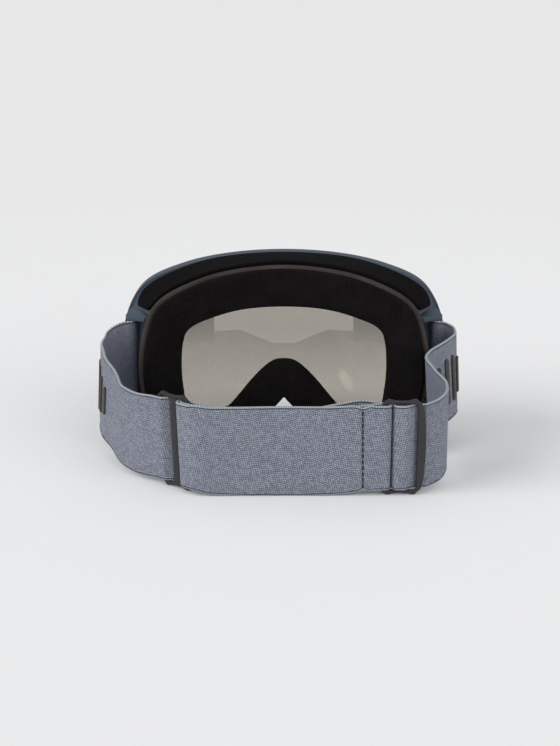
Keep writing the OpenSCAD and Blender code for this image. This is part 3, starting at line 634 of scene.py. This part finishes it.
def strap_bracket(side):
    """Shoulders over and under the strap's end, which carry the upright bar that it goes round."""
    root_x = BAR_X - BAR_OUT - 1.2 * WALL_IN
    root_y = FLANGE_FRONT - float(fall(BAR_X - BAR_OUT)) + ARM_R
    rim_y = BAR_Y + BAR_BEHIND + 0.6 * WALL
    turn = arc((BAR_X, BAR_Y), ARM_R, 0, -120, 8)
    plan = np.vstack([turn, [(root_x, root_y), (root_x, rim_y), (BAR_X + ARM_R, rim_y)]])
    plan[:, 0] *= side
    tip = np.array([side * (BAR_X - ARM_R), rim_y - WALL / 2])
    parts = []
    for z, up in ((STRAP_RISE - GAP, -1), (STRAP_RISE + STRAP_W + GAP, 1)):
        cloud = [(x, y, z + up * t) for x, y in plan for t in (0, ARM_T)]
        cloud += [(*(tip + p), z + up * (ARM_T + SHOULDER + t))
                  for p in arc((0, 0), WALL / 2, 0, 315, 7) for t in (0, WALL / 4)]
        if up > 0:
            level = np.abs(rim_line[:, 1] - (z + PANEL_H)) + (rim_line[:, 0] * side < 0) * FRAME_W
            k = int(np.argmin(level))
            cloud += [corner_ring("wall", 0, RIM_BACK + 0.5)[k],
                      corner_ring("foam", WALL_IN + 0.4, FLANGE_FRONT + 1)[k]]
        parts.append(hull_object(cloud, ARM_BEVEL))
    ring = arc((side * BAR_X, BAR_Y), BAR_R, 0, 345, 23)
    parts.append(prism("bar", ring, STRAP_RISE - ARM_T / 2, STRAP_RISE + STRAP_W + ARM_T / 2))
    name = "left_strap_bracket" if side < 0 else "right_strap_bracket"
    finish_piece(join(name, parts), FRAME_SHELL, "root", "frame")


frame_shell()
strap_bracket(-1)
strap_bracket(1)

# Lenses, their gasket and the vent foams

# A lens's mesh: its middle, its rings, how they crowd to the edge, and how flat that is
LENS_HEART = np.array([0, 60])
LENS_ROWS, LENS_CROWD, LENS_FLAT = 26, 0.8, 0.6


def lens(name, front, thickness, material, node):
    """A curved sheet that fills the groove's outline, with a rounded edge."""
    edge = LINES["rim"](GROOVE + GAP)
    shares = np.linspace(0, 1, LENS_ROWS + 1)[1:] ** LENS_CROWD
    half = thickness / 2
    flat = half * LENS_FLAT

    def sheet_ring(share, depth, tuck):
        p = LENS_HEART + (edge - unit(edge - LENS_HEART) * tuck - LENS_HEART) * share
        y = front - WRAP_R + np.sqrt((WRAP_R - depth) ** 2 - p[:, 0] ** 2)
        return np.column_stack([p[:, 0], y, p[:, 1]])

    rings = [sheet_ring(share, 0, flat) for share in shares]
    rings += [sheet_ring(1, half * (1 - math.cos(a)), flat * (1 - math.sin(a)))
              for a in np.radians((45, 90, 135))]
    rings += [sheet_ring(share, thickness, flat) for share in shares[::-1]]
    n, m = len(rings), LINE_N
    hearts = [(0, front, LENS_HEART[1]), (0, front - thickness, LENS_HEART[1])]
    faces = grid_faces(n, m, closed=False)
    for k in range(m):
        k2 = (k + 1) % m
        faces += [[n * m, k2, k], [n * m + 1, (n - 1) * m + k, (n - 1) * m + k2]]
    obj = make_object(name, place(np.vstack(rings + [hearts])), faces)
    finish_piece(obj, material, "root", node)


lens("outer_lens_sheet", OUTER_LENS_FRONT, OUTER_LENS_T, OUTER_TINT, "outer_lens")
lens("inner_lens_sheet", INNER_LENS_FRONT, INNER_LENS_T, INNER_TINT_WITH_PAINTED_REFLECTIONS, "inner_lens")

GASKET_IN = GROOVE + GAP + 0.2
gasket = ring_object("lens_gasket_ring", rounded_rings([
    ("rim", GASKET_IN, GASKET_FRONT - GASKET_T, 0.5), ("rim", GASKET_IN, GASKET_FRONT, 0.5),
    ("rim", GASKET_IN + GASKET_W, GASKET_FRONT, 0.6),
    ("rim", GASKET_IN + GASKET_W, GASKET_FRONT - GASKET_T, 0.6),
]))
finish_piece(gasket, GASKET, "root", "lens_gasket")

# The foam stops shorter of the rim towards the sides, and sinks by a share of that
SHORT_MOST, SHORT_FROM, SHORT_OVER, SHORT_CURVE, SINK = 4.5, 0.4, 0.5, 1.3, 0.42
outwards = np.clip((np.abs(rim_line[:, 0]) / HALF_W - SHORT_FROM) / SHORT_OVER, 0, 1)
VENT_SHORT = SHORT_MOST * outwards ** SHORT_CURVE
VENT_FRONT = RIM_BACK - GAP - VENT_SHORT
VENT_SINK = VENT_SHORT[:, None] * SINK
VENT_SECTION = [
    ("foam", WALL_IN - GAP, FLANGE_FRONT + GAP, 0.4),
    ("foam", WALL_IN - GAP - VENT_FOAM_T, FLANGE_FRONT + GAP, 0.9),
    ("wall", VENT_SINK - GAP - VENT_FOAM_T, VENT_FRONT, 0.9),
    ("wall", VENT_SINK - GAP, VENT_FRONT, 0.4),
]
# The rows that round a strip's end, and how thick it is there
VENT_ROUND, VENT_TIP = 5, 0.55


def vent_foam(name, first, last, node):
    """A strip of foam along part of the outline, with rounded ends."""
    stations = np.arange(int(first * OUTLINE_STEPS), int(last * OUTLINE_STEPS) + 1) % LINE_N
    picked = rounded_rings(VENT_SECTION)[stations]
    for k in range(VENT_ROUND):
        part = k / VENT_ROUND
        share = 0.5 * (math.sqrt(1 - (1 - part) ** 2) + part)
        for row in (k, -1 - k):
            heart = picked[row].mean(0)
            picked[row] = heart + (picked[row] - heart) * (VENT_TIP + (1 - VENT_TIP) * share)
    finish_piece(tube_object(name, picked), VENT_FOAM, "root", node)


vent_foam("brow_vent_strip", -BROW_REACH, BROW_REACH, "brow_vent_foam")
vent_foam("left_vent_strip", -9, -7, "left_vent_foam")
vent_foam("right_vent_strip", 7, 9, "right_vent_foam")

# Face foam, and its fleece lining, which turns in round the eye opening

FOAM_ROUND = 1.2
FLEECE_IN = 0.4 * FLEECE_T
FOAM_EYE = FLEECE_IN + GAP

face_foam = ring_object("face_foam_ring", rounded_rings([
    ("foam", 0.6, FOAM_BACK, 0.6), ("foam", 0, FOAM_BACK + 1.4, 1.2),
    ("foam", 0.3, FOAM_BACK + FOAM_T * 0.4, 2), ("foam", 1.0, FOAM_FRONT, 0.6),
    ("eye", FOAM_EYE + 0.4, FOAM_FRONT, 0.6), ("eye", FOAM_EYE, FOAM_BACK + FOAM_T * 0.5, 2),
    ("eye", FOAM_EYE + 0.3, FOAM_BACK + 1.4, 1.2), ("eye", FOAM_EYE + 1.6, FOAM_BACK, 1.2),
]))
finish_piece(face_foam, FACE_FOAM, "root", "face_foam")

fleece = ring_object("fleece_lining_ring", rounded_rings([
    ("lining", 2.2, FLEECE_BACK, 1.0), ("lining", 1.2, FLEECE_BACK + 0.7, 0.7),
    ("lining", 1.1, FLEECE_FRONT, 0.3),
    ("eye", FOAM_EYE + FOAM_ROUND, FLEECE_FRONT, 0.3),
    ("eye", FLEECE_IN, FOAM_BACK + FOAM_ROUND, 1.0), ("eye", FLEECE_IN, FOAM_FRONT, 0.2),
    ("eye", 0, FOAM_FRONT, 0.3), ("eye", 0, FLEECE_FRONT, 1.2),
    ("eye", 0.5, FLEECE_BACK + 0.5, 1.0), ("eye", 2.4, FLEECE_BACK, 1.2),
]))
finish_piece(fleece, FLEECE, "root", "fleece_lining")

# Straps: the same paths as the solids, with a woven section

BACK_Y = FACE_Y - HEAD_ROOM
LAY = STRAP_T + 2 * SNUG
OUTER_Y = BACK_Y - 0.8 * LAY
LEFT_CENTRE = np.array([-LEFT_SLIDER_X, BACK_Y + LEFT_SLIDER_IN])
RIGHT_CENTRE = np.array([RIGHT_SLIDER_X, BACK_Y + 2 * SNUG])
SLOT_GAP = 2 * STRAP_T + 3 * SNUG + SLOT_PLAY
SLOT_H = STRAP_W + 2 * SNUG
SLIDER_H = SLOT_H + 2 * (RAIL + PEAK)
THREAD_Z = RAIL + PEAK + SNUG
BAR_PITCH = SLIDER_BAR + SLOT_GAP
BAR_FLAT = (SLIDER_BAR - SLIDER_T) / 2
SLIDER_HALF_W = BAR_PITCH + SLIDER_BAR / 2
THREAD_END = SLIDER_HALF_W + BOW + GAP
NEAR_R = SLIDER_T / 2 + SNUG + STRAP_T / 2
FAR_R = NEAR_R + STRAP_T + SNUG
NEAR_SLOPE = math.degrees(math.asin(2 * NEAR_R / (SLOT_GAP + SLIDER_T)))
FAR_SLOPE = math.degrees(math.asin((NEAR_R + FAR_R) / (SLOT_GAP + SLIDER_T)))
# The strap's lean where it slopes, the swell of its back, the tip of its sides, and its longest step
STRAP_LEAN, SWELL, SIDE_TIP, FINE = 0.15, 2.6, 3, 0.45
# How far the strap's upright settles along it, and how much the sewn tail's upper edge is tucked in
SETTLE, TAIL_ROWS, TAIL_TUCK = 1.5, 40, 2.4
# A seam draws the strap's edges in, presses a groove into it, and leaves a puff on each side
SEAM_PINCH, SEAM_REACH, GROOVE_DEPTH, GROOVE_REACH, PUFF, PUFF_REACH = 1.17, 2.2, 0.85, 0.6, 0.22, 1.54
# How much the left slider leans, as a slope, and how far along the strap that is felt
SLIDER_LEAN, LEAN_REACH = 0.045, 14


def placed(centre, turn, points, z=THREAD_Z):
    """Points of a slider's plan, turned and set in their place, at the threaded strap's height or z."""
    c, s = math.cos(math.radians(turn)), math.sin(math.radians(turn))
    x, y = np.asarray(points, float).T
    return np.column_stack([x * c - y * s + centre[0], x * s + y * c + centre[1],
                            np.broadcast_to(z, len(x))])


THREADED = np.vstack([
    [(-THREAD_END, -NEAR_R)], arc((BAR_FLAT - BAR_PITCH, 0), NEAR_R, -90, NEAR_SLOPE - 90, 8),
    arc((-BAR_FLAT, 0), NEAR_R, 90 + NEAR_SLOPE, 90, 8),
    arc((BAR_FLAT, 0), NEAR_R, 90, 90 - FAR_SLOPE, 10),
    arc((BAR_PITCH - BAR_FLAT, 0), FAR_R, -90 - FAR_SLOPE, -90, 12), [(THREAD_END, -FAR_R)],
])
WRAPPED = np.vstack([
    [(THREAD_END, NEAR_R)], arc((BAR_PITCH - BAR_FLAT, 0), NEAR_R, 90, 270, 20),
    [(BAR_PITCH + BAR_FLAT, -NEAR_R), (THREAD_END + GAP, -NEAR_R)],
])
left_threaded = placed(LEFT_CENTRE, LEFT_TURN, THREADED)
right_threaded = placed(RIGHT_CENTRE, 0, -THREADED)
left_wrapped = placed(LEFT_CENTRE, LEFT_TURN, WRAPPED)
right_wrapped = placed(RIGHT_CENTRE, 0, -WRAPPED)

LEFT_START, RIGHT_START = left_threaded[0], right_threaded[0]


def side_way(side, swing, start, shares):
    """Points of a side of the strap, from shares of its swing, of the way back and of the way down."""
    first_y = BAR_Y - FOLD_R
    return [np.array([side * (BAR_X + swing * out), first_y - (first_y - start[1]) * back,
                      STRAP_RISE - (STRAP_RISE - start[2]) * down]) for out, back, down in shares]


LEFT_SIDE = side_way(-1, LEFT_SWING, LEFT_START, [
    (0, 0, 0), (0.2, 0, 0.041), (0.667, 0.04, 0.231), (1, 0.165, 0.396), (0.88, 0.36, 0.586),
    (0.493, 0.52, 0.742), (0.16, 0.662, 0.932)])
LEFT_RUN = [LEFT_START + THREAD_END * np.array(d) for d in (
    (-1.124, 0.909, 0), (-0.612, 0.413, -0.033), (0, 0, 0))]
RIGHT_SIDE = side_way(1, RIGHT_SWING, RIGHT_START, [
    (0, 0, 0), (0.32, 0, 0.029), (0.83, 0.045, 0.099), (1, 0.15, 0.173), (0.468, 0.258, 0.28),
    (-0.319, 0.33, 0.421), (-0.638, 0.407, 0.52), (-0.426, 0.54, 0.652), (-0.085, 0.703, 0.759),
    (-0.213, 0.853, 0.841)])
RIGHT_RUN = [RIGHT_START + THREAD_END * np.array(d) for d in ((0.537, 0.298, 0.132), (0, 0, 0))]


def laid(y, rows):
    """Points along the back: each one's x, the layers between it and y, and its share of the height."""
    return [(x, y + layers * LAY, share * THREAD_Z) for x, layers, share in rows]


OUTER_BACK = [left_threaded[-1], *laid(OUTER_Y, [
    (THREAD_END - LEFT_SLIDER_X, -0.15, 0.73), (THREAD_END * 1.364 - LEFT_SLIDER_X, -0.25, 0.36),
    (-0.385 * LEFT_SLIDER_X, -0.1, 0.06), (0, 0, 0.015), (0.327 * RIGHT_SLIDER_X, 0, 0.1),
    (RIGHT_SLIDER_X - THREAD_END * 2.066, 0, 0.47)]), right_wrapped[0]]
INNER_BACK = [right_threaded[-1], *laid(BACK_Y, [
    (RIGHT_SLIDER_X - THREAD_END * 1.57, 2, 1.51), (RIGHT_SLIDER_X - THREAD_END * 2.231, 1.3, 1.15),
    (0.255 * RIGHT_SLIDER_X, 0.95, 0.29), (0, 0.95, 0.055), (-0.346 * LEFT_SLIDER_X, 0.95, 0.15),
    (THREAD_END * 1.736 - LEFT_SLIDER_X, 0.95, 0.51), (THREAD_END * 1.322 - LEFT_SLIDER_X, 1.3, 0.73),
]), left_wrapped[0]]
LEFT_TAIL = [left_wrapped[-1], *laid(OUTER_Y, [
    (THREAD_END * 1.074 - LEFT_SLIDER_X, 1.1, 0.89), (THREAD_END * 1.364 - LEFT_SLIDER_X, 0.9, 0.67)])]
RIGHT_TAIL = [right_wrapped[-1], *laid(OUTER_Y, [
    (RIGHT_SLIDER_X - BAR_PITCH - THREAD_END * 0.661, 1.2, 1),
    (RIGHT_SLIDER_X - BAR_PITCH - THREAD_END * 0.992, 1, 0.85)])]

# How far the sewn tails at the frame hang down, as shares of the strap's rise
LEFT_DROP, RIGHT_DROP = 0.18, 0.12


def folded(side):
    """The sewn tail and the turn round the strap bar."""
    drop = (STRAP_RISE - THREAD_Z) * (LEFT_DROP if side < 0 else RIGHT_DROP)
    tail = curve([
        (side * (BAR_X + FOLD_LEN), BAR_Y - FOLD_R + 1.05 * LAY, STRAP_RISE - drop),
        (side * (BAR_X + FOLD_LEN * 0.62), BAR_Y + FOLD_R * 0.3, STRAP_RISE - 0.55 * drop),
        (side * (BAR_X + FOLD_R * 0.9), BAR_Y + FOLD_R * 0.82, STRAP_RISE),
        (side * (BAR_X + FOLD_R * 0.37), BAR_Y + FOLD_R, STRAP_RISE)], 10)
    turn = arc((side * BAR_X, BAR_Y), FOLD_R, 90, -90 if side < 0 else 270, 24)
    return np.vstack([tail, np.column_stack([turn, np.full(len(turn), STRAP_RISE)])])


def refined(path):
    """The same path with its long steps divided."""
    made = [path[0]]
    for a, b in zip(path[:-1], path[1:]):
        count = max(1, math.ceil(np.linalg.norm(b - a) / FINE))
        made += [a + (b - a) * k / count for k in range(1, count + 1)]
    return np.array(made)


class Strap:
    """One half of the strap as a path of its lower edge, with the directions at each point."""

    def __init__(self, side, side_points, run_points, threaded, back, wrapped, tail, swell=0.0):
        self.side = side
        free = curve(side_points + run_points, STRAP_STEPS)
        cut = STRAP_STEPS * (len(side_points) - 1)
        parts = [folded(side), free[:cut + 1], free[cut:], refined(threaded),
                 refined(curve(back, STRAP_STEPS)), refined(wrapped), refined(np.array(tail))]
        self.marks = [0] + np.cumsum([len(part) - 1 for part in parts]).tolist()
        self.path = np.vstack([parts[0]] + [part[1:] for part in parts[1:]])
        n = len(self.path)
        step = np.gradient(self.path, axis=0)
        self.along = unit(step)
        self.across = unit(np.column_stack([-step[:, 1], step[:, 0], np.zeros(n)]))
        gaps = np.linalg.norm(np.diff(self.path, axis=0), axis=1)
        self.length = np.concatenate([[0], np.cumsum(gaps)])
        tip = -side * SIDE_TIP * np.sin(np.pi * self.through(1))
        upright = (unit(np.cross(self.along * [1, 1, STRAP_LEAN], self.across))
                   + self.across * (tip / STRAP_W)[:, None])
        near = np.exp(-((self.length[:, None] - self.length[None, :]) / SETTLE) ** 2)
        self.up = near @ upright / near.sum(1)[:, None]
        self.width = STRAP_W + swell * np.sin(np.pi * self.through(4)) ** 0.6
        self.width[:TAIL_ROWS] -= TAIL_TUCK * np.linspace(1, 0, TAIL_ROWS) ** 0.5
        self.pinch, self.groove = np.zeros(n), np.zeros(n)

    def through(self, k):
        """How far each station lies through the stretch from mark k to the next, as a share."""
        a, b = self.marks[k:k + 2]
        return np.clip((np.arange(len(self.path)) - a) / (b - a), 0, 1)

    def lean(self, first, last, way):
        """Leans the strap's width with the left slider between two stations, and less beyond them."""
        beyond = np.maximum(self.length[first] - self.length, self.length - self.length[last])
        shift = way * SLIDER_LEAN * ease(1 - beyond / LEAN_REACH)[:, None]
        self.path += shift * STRAP_W / 2
        self.up -= shift

    def at(self, i):
        """The lower edge and the directions at a place between stations."""
        k = int(min(i, len(self.path) - 2))
        t = i - k
        return [v[k] * (1 - t) + v[k + 1] * t for v in (self.path, self.along, self.across, self.up)]

    def seam(self, i):
        """Draws the strap in round station i, as a row of stitches does, with a swell beside it."""
        away = np.abs(self.length - self.length[i])
        self.pinch += SEAM_PINCH * np.exp(-(away / SEAM_REACH) ** 2)
        self.groove += GROOVE_DEPTH * np.exp(-(away / GROOVE_REACH) ** 2)
        self.groove -= PUFF * np.exp(-((away - SEAM_REACH) / PUFF_REACH) ** 2)


left_strap = Strap(-1, LEFT_SIDE, LEFT_RUN, left_threaded, OUTER_BACK, right_wrapped, RIGHT_TAIL,
                   SWELL)
right_strap = Strap(1, RIGHT_SIDE, RIGHT_RUN, right_threaded, INNER_BACK, left_wrapped, LEFT_TAIL)
left_way = placed((0, 0), LEFT_TURN, [(1, 0)], 0)[0]
left_strap.lean(left_strap.marks[3], left_strap.marks[4], left_way)
right_strap.lean(right_strap.marks[5], right_strap.marks[7], left_way)

# The woven section: places up the width, and half the thickness there
BEAD = [(0.0, 0.0), (0.08, 0.34), (0.3, 0.6), (0.75, 0.75), (1.2, 0.7), (1.55, 0.52), (1.9, 0.5),
        (2.3, 0.66)]
FIELD = [(w, 0.7) for w in (5, 9, 13, 17, 21)]
HALF_SECTION = np.array(BEAD + FIELD + [(STRAP_W - w, h) for w, h in reversed(BEAD + FIELD[:-1])])


def strap_piece(name, strap, first, last, node, body=None):
    """The stretch of a strap between two stations, with the section swept along it."""
    w, h = np.vstack([HALF_SECTION, HALF_SECTION[-2:0:-1] * [1, -1]])[::-strap.side].T
    h = h * strap.side
    rows = slice(first, last + 1)
    middle = np.clip((w - BEAD[-1][0]) / (STRAP_W - 2 * BEAD[-1][0]), 0, 1)
    width = (w + strap.pinch[rows, None] * (1 - 2 * w / STRAP_W)
             + middle * (strap.width[rows, None] - STRAP_W))
    lift = h * (1 - strap.groove[rows, None])
    rings = (strap.path[rows, None] + strap.up[rows, None] * width[:, :, None]
             + strap.across[rows, None] * lift[:, :, None])
    u = strap.length[rows, None]
    w2 = np.roll(w, -1)
    back = np.where((h + np.roll(h, -1)) * strap.side < 0, INNER_FACE, 0)
    quads = [np.broadcast_arrays(a, b + back)
             for a, b in ((u[:-1], w), (u[:-1], w2), (u[1:], w2), (u[1:], w))]
    uvs = np.moveaxis(quads, (0, 1), (2, 3)).reshape(-1, 2)
    caps = [(u[0, 0], 0.5)] * len(w) + [(u[-1, 0], 0.5)] * len(w)
    obj = tube_object(name, rings, np.vstack([uvs, caps]))
    finish_piece(obj, WEBBING, body, node)
    return obj


def bend(obj):
    """Bakes a piece's placement into its mesh; the piece is not bent."""
    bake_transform(obj)


def strap_pieces(label, other, strap, free_from, layer):
    """The pieces of one half of the strap. Its side is split at a point of its path, and its back layer
    in the middle plane."""
    m = strap.marks
    adjuster, other_adjuster = f"{label}_adjuster", f"{other}_adjuster"
    free = m[1] + free_from * STRAP_STEPS
    strap_piece(f"{label}_side_webbing", strap, m[0], free, f"{label}_side_strap", "root")
    piece = strap_piece(f"{label}_run_webbing", strap, free, m[3], f"{label}_strap_run")
    bend(piece)
    strap_piece(f"{label}_threaded_webbing", strap, m[3], m[4], f"{label}_threaded_strap", adjuster)
    middle = m[4] + int(np.argmin(np.abs(strap.path[m[4]:m[5] + 1, 0])))
    for half, ends, far, body in (("first", (m[4], middle), m[4], adjuster),
                                  ("second", (middle, m[5]), m[5], other_adjuster)):
        piece = strap_piece(f"{layer}_webbing_{half}_half", strap, *ends, f"{layer}_strap")
        bend(piece)
    strap_piece(f"{other}_webbing_tail", strap, m[5], m[7], f"{other}_strap_tail", other_adjuster)


# The right tail's seam lies halfway to the last point of the outer back layer
seam_spot = curve(OUTER_BACK, STRAP_STEPS)[-1 - STRAP_STEPS // 2]
right_seam = int(np.argmin(np.linalg.norm(left_strap.path - seam_spot, axis=1)))
left_strap.seam(right_seam)
strap_pieces("left", "right", left_strap, 5, "outer_back")
strap_pieces("right", "left", right_strap, 6, "inner_back")

# Sliders: a bowed ring with two peaks on each rail, and a bar across its middle

OUTER_FILLET, WINDOW_R = 0.55, 1.2
# The middle bar's flare at its ends, how far it goes into the ring, and its rows
BAR_FLARE, FLARE_H, BAR_BITE, BAR_ROWS = 0.8, 2.6, 0.4, 72


def slider_ring():
    """Rings of the slider's section between its outline and its window, flat in its own plane."""
    middle = SLIDER_H / 2
    quarter = [
        (SLIDER_HALF_W + BOW, 0), (SLIDER_HALF_W + BOW * 0.7, middle * 0.35),
        (SLIDER_HALF_W, middle * 0.72), (SLIDER_HALF_W - 1.1, middle - 2.9),
        (SLIDER_HALF_W - 3, middle - 1), (0.58 * SLIDER_HALF_W, middle),
        (0.3 * SLIDER_HALF_W, middle - PEAK * 0.75), (0, middle - PEAK)]
    upper = quarter + [(-x, z) for x, z in quarter[-2::-1]]
    outer = curve(upper + [(x, -z) for x, z in upper[-2:0:-1]], 8, True)
    reach = np.array([BAR_PITCH - BAR_FLAT, SLOT_H / 2]) - WINDOW_R
    heart = np.clip(outer, -reach, reach)
    inner = heart + unit(outer - heart) * WINDOW_R
    way = unit(outer - inner)
    half = SLIDER_T / 2
    rings = [(inner + way * half * (1 - math.cos(a)), half * math.sin(a))
             for a in np.radians(np.linspace(-90, 90, 9))]
    for face, start, end in ((1, 90, 0), (-1, 0, -90)):
        for a in np.radians(np.linspace(start, end, 5)):
            rings.append((outer - way * OUTER_FILLET * (1 - math.cos(a)),
                          face * (half - OUTER_FILLET) + OUTER_FILLET * math.sin(a)))
    return np.stack([np.column_stack([p, np.full(len(p), t)]) for p, t in rings], axis=1)


def slider(name, centre, turn, body, node, lean=0.0):
    def stand(rings):
        x, up, y = rings.reshape(-1, 3).T
        points = placed(centre, turn, np.column_stack([x - lean * up, y]), up + SLIDER_H / 2)
        return points.reshape(rings.shape)

    half = SLIDER_T / 2
    x, y = np.vstack([arc((BAR_FLAT, 0), half, -90, 90, 10), arc((-BAR_FLAT, 0), half, 90, 270, 10)]).T
    heights = np.linspace(-SLOT_H / 2 - BAR_BITE, SLOT_H / 2 + BAR_BITE, BAR_ROWS)
    flare = BAR_FLARE * np.clip((np.abs(heights) - SLOT_H / 2 + FLARE_H) / FLARE_H, 0, 1) ** 2
    bar = np.stack([np.column_stack([x + np.sign(x) * wide, np.full(len(x), z), y])
                    for z, wide in zip(heights, flare)])
    parts = [ring_object("rim", stand(slider_ring())), tube_object("bar", stand(bar))]
    finish_piece(join(name, parts), SLIDER, body, node)


slider("left_slider_body", LEFT_CENTRE, LEFT_TURN, "left_adjuster", "left_slider", SLIDER_LEAN)
slider("right_slider_body", RIGHT_CENTRE, 0, "right_adjuster", "right_slider")

# Stitches and raised ribs

# The seams keep clear of the strap's edges, and their stitches stand out from its face or sink in
SEAM_FREE, STITCH_GAP, STITCH_SINK, STITCH_ARCH = 3, 0.1, 0.15, 0.22
STITCH_COUNT = int((STRAP_W - SEAM_FREE) // STITCH_PITCH)
STITCH_OUT = STRAP_T / 2 + THREAD / 2 + STITCH_GAP
# A stitch's rows and edges, how blunt its tips are, and how much of it is left there
STITCH_ROWS, STITCH_EDGES, STITCH_BLUNT, STITCH_TIP = 9, 8, 6, 0.06


def stitch_row(name, strap, i, side, body, node, material=GREY_THREAD, out=STITCH_OUT):
    """A row of short threads that arch over the face of a strap."""
    p, along, across, up = strap.at(i)
    parts = []
    for heart in spread(STITCH_COUNT, STITCH_PITCH):
        rings = []
        for t in np.linspace(-1, 1, STITCH_ROWS):
            r = THREAD / 2 * math.sqrt(max(1 - abs(t) ** STITCH_BLUNT, STITCH_TIP))
            centre = (p + up * (STRAP_W / 2 + heart + t * STITCH / 2)
                      + across * side * (out - STITCH_ARCH * t ** 4))
            rings.append([centre + (along * math.cos(a) + across * math.sin(a)) * r
                          for a in np.linspace(0, math.tau, STITCH_EDGES, endpoint=False)])
        parts.append(tube_object("stitch", np.array(rings)))
    finish_piece(join(name, parts), material, body, node)


# The seams' stations, from the end of the fold at the frame and from the left tail's start
SEWN_AT, TAIL_SEWN_AT = STRAP_STEPS + STRAP_STEPS // 2, 4
for label, strap in (("left", left_strap), ("right", right_strap)):
    stitch_row(f"{label}_bar_seam", strap, strap.marks[1] + SEWN_AT, strap.side, "root",
               f"{label}_bar_stitches")
stitch_row("right_tail_seam", left_strap, right_seam, -1, "right_adjuster", "right_tail_stitches",
           DARK_THREAD, STRAP_T / 2 - STITCH_SINK)
stitch_row("left_tail_seam", right_strap, right_strap.marks[6] + TAIL_SEWN_AT, -1, "left_adjuster",
           "left_tail_stitches")

# The ribs' corners, how deep they sit in the strap, and how much shorter the outer ones are
RIB_R, RIB_SINK, RIB_FALL = 0.8, 0.05, 0.45


def rounded_rectangle(w, h, r):
    return np.vstack([arc((x * (w / 2 - r), z * (h / 2 - r)), r, turn, turn + 90, 5)
                      for x, z, turn in ((1, 1, 0), (-1, 1, 90), (-1, -1, 180), (1, -1, 270))])


def rib(strap, i, height):
    """A raised bar of rubber that follows the strap's face, with a rounded top."""
    per_mm = 1 / np.linalg.norm(strap.path[int(i) + 1] - strap.path[int(i)])
    outline = rounded_rectangle(RIB_W, height, RIB_R)
    rings = []
    for inset, out in ((0, 0), (0, RIB_T), (0.12, RIB_T + 0.22), (0.4, RIB_T + 0.35)):
        row = []
        for x, z in outline - unit(outline) * inset:
            low, _, across, up = strap.at(i + x * per_mm)
            row.append(low + up * (STRAP_W / 2 + z)
                       + across * strap.side * (STRAP_T / 2 - RIB_SINK + out))
        rings.append(row[::strap.side])
    return tube_object("rib", np.array(rings))


def ribs(name, strap, first, node):
    """A group of ribs, which begins so many points of the path after the fold."""
    parts = []
    for k in range(RIB_COUNT):
        height = RIB_H * (1 - RIB_FALL * abs(2 * k / (RIB_COUNT - 1) - 1))
        parts.append(rib(strap, strap.marks[1] + (first + k / 2) * STRAP_STEPS, height))
    finish_piece(join(name, parts), PRINT, "root", node)


ribs("left_rib_print", left_strap, 1.75, "left_ribs")
ribs("right_rib_print", right_strap, 2.5, "right_ribs")

# Floor, light and camera

# Tones from 0 to 255: the background, the floor, and the light from all round
PALE, FLOOR_TONE, ROOM_TONE = 231, 252, (187.5, 188.4, 190)


def floor():
    """A pale floor that fades into the background away from the goggles, with their shadow."""
    radius, rings, spokes = 2.2, 24, 64
    turns = np.linspace(0, math.tau, spokes, endpoint=False)
    points = [(0, 0, 0)] + [(r * math.cos(a), r * math.sin(a), 0)
                            for r in radius * (np.arange(1, rings + 1) / rings) ** 1.5
                            for a in turns]
    faces = [(0, 1 + k, 1 + (k + 1) % spokes) for k in range(spokes)]
    faces += [[v + 1 for v in f[::-1]] for f in grid_faces(rings, spokes, closed=False)]
    obj = make_object("floor", points, faces)
    s = new_material("pale floor")
    away = s.node("VectorMath", Vector=s.place())
    away.operation = "LENGTH"
    s.set((FLOOR_TONE,) * 3, 0.9, 0.1, Alpha=s.between(away.outputs["Value"], 0.35, 1.1, 1.0, 0.0))
    obj.data.materials.append(s.owner)


def world():
    """Soft light from all round. The camera sees a pale background, also in and through the lens."""
    s = Shader(bpy.data.worlds.new("studio"))
    rays = s.node("LightPath").outputs
    seen = s.math("MAXIMUM", rays["Is Camera Ray"], rays["Is Transmission Ray"])
    shown = s.math("MAXIMUM", seen, rays["Is Glossy Ray"])
    s.feed(s.nodes["Background"].inputs["Color"], s.mix(shown, ROOM_TONE, (PALE,) * 3))
    bpy.context.scene.world = s.owner


def sun(name, azimuth, elevation, strength, angle):
    """A soft lamp. Azimuth 0 shines from behind the camera, 90 from the right."""
    light = bpy.data.lights.new(name, "SUN")
    light.energy = strength
    light.angle = math.radians(angle)
    obj = bpy.data.objects.new(name, light)
    obj.visible_glossy = False
    a, e = math.radians(azimuth), math.radians(elevation)
    way = Vector((math.sin(a) * math.cos(e), -math.cos(a) * math.cos(e), math.sin(e)))
    obj.rotation_euler = way.to_track_quat("Z", "Y").to_euler()
    obj.location = way
    bpy.context.scene.collection.objects.link(obj)


def camera():
    """The photograph's view: its pitch, height and distance, and its focal length in pixels."""
    pitch, height, distance, sideways = 16.08, 215.4, 596.2, -2.08
    focal_pixels, frame_pixels = 1210.0, 746.0
    data = bpy.data.cameras.new("camera")
    data.sensor_width = 36
    data.lens = focal_pixels / frame_pixels * data.sensor_width
    obj = bpy.data.objects.new("camera", data)
    obj.location = place((sideways, -distance, height))
    obj.rotation_euler = (math.radians(90 - pitch), 0, 0)
    bpy.context.scene.collection.objects.link(obj)
    bpy.context.scene.camera = obj


floor()
world()
sun("key", -70, 25, 1.7, 45)
sun("fill", 38, 20, 1.1, 60)
camera()
bpy.context.scene.view_settings.view_transform = "Standard"
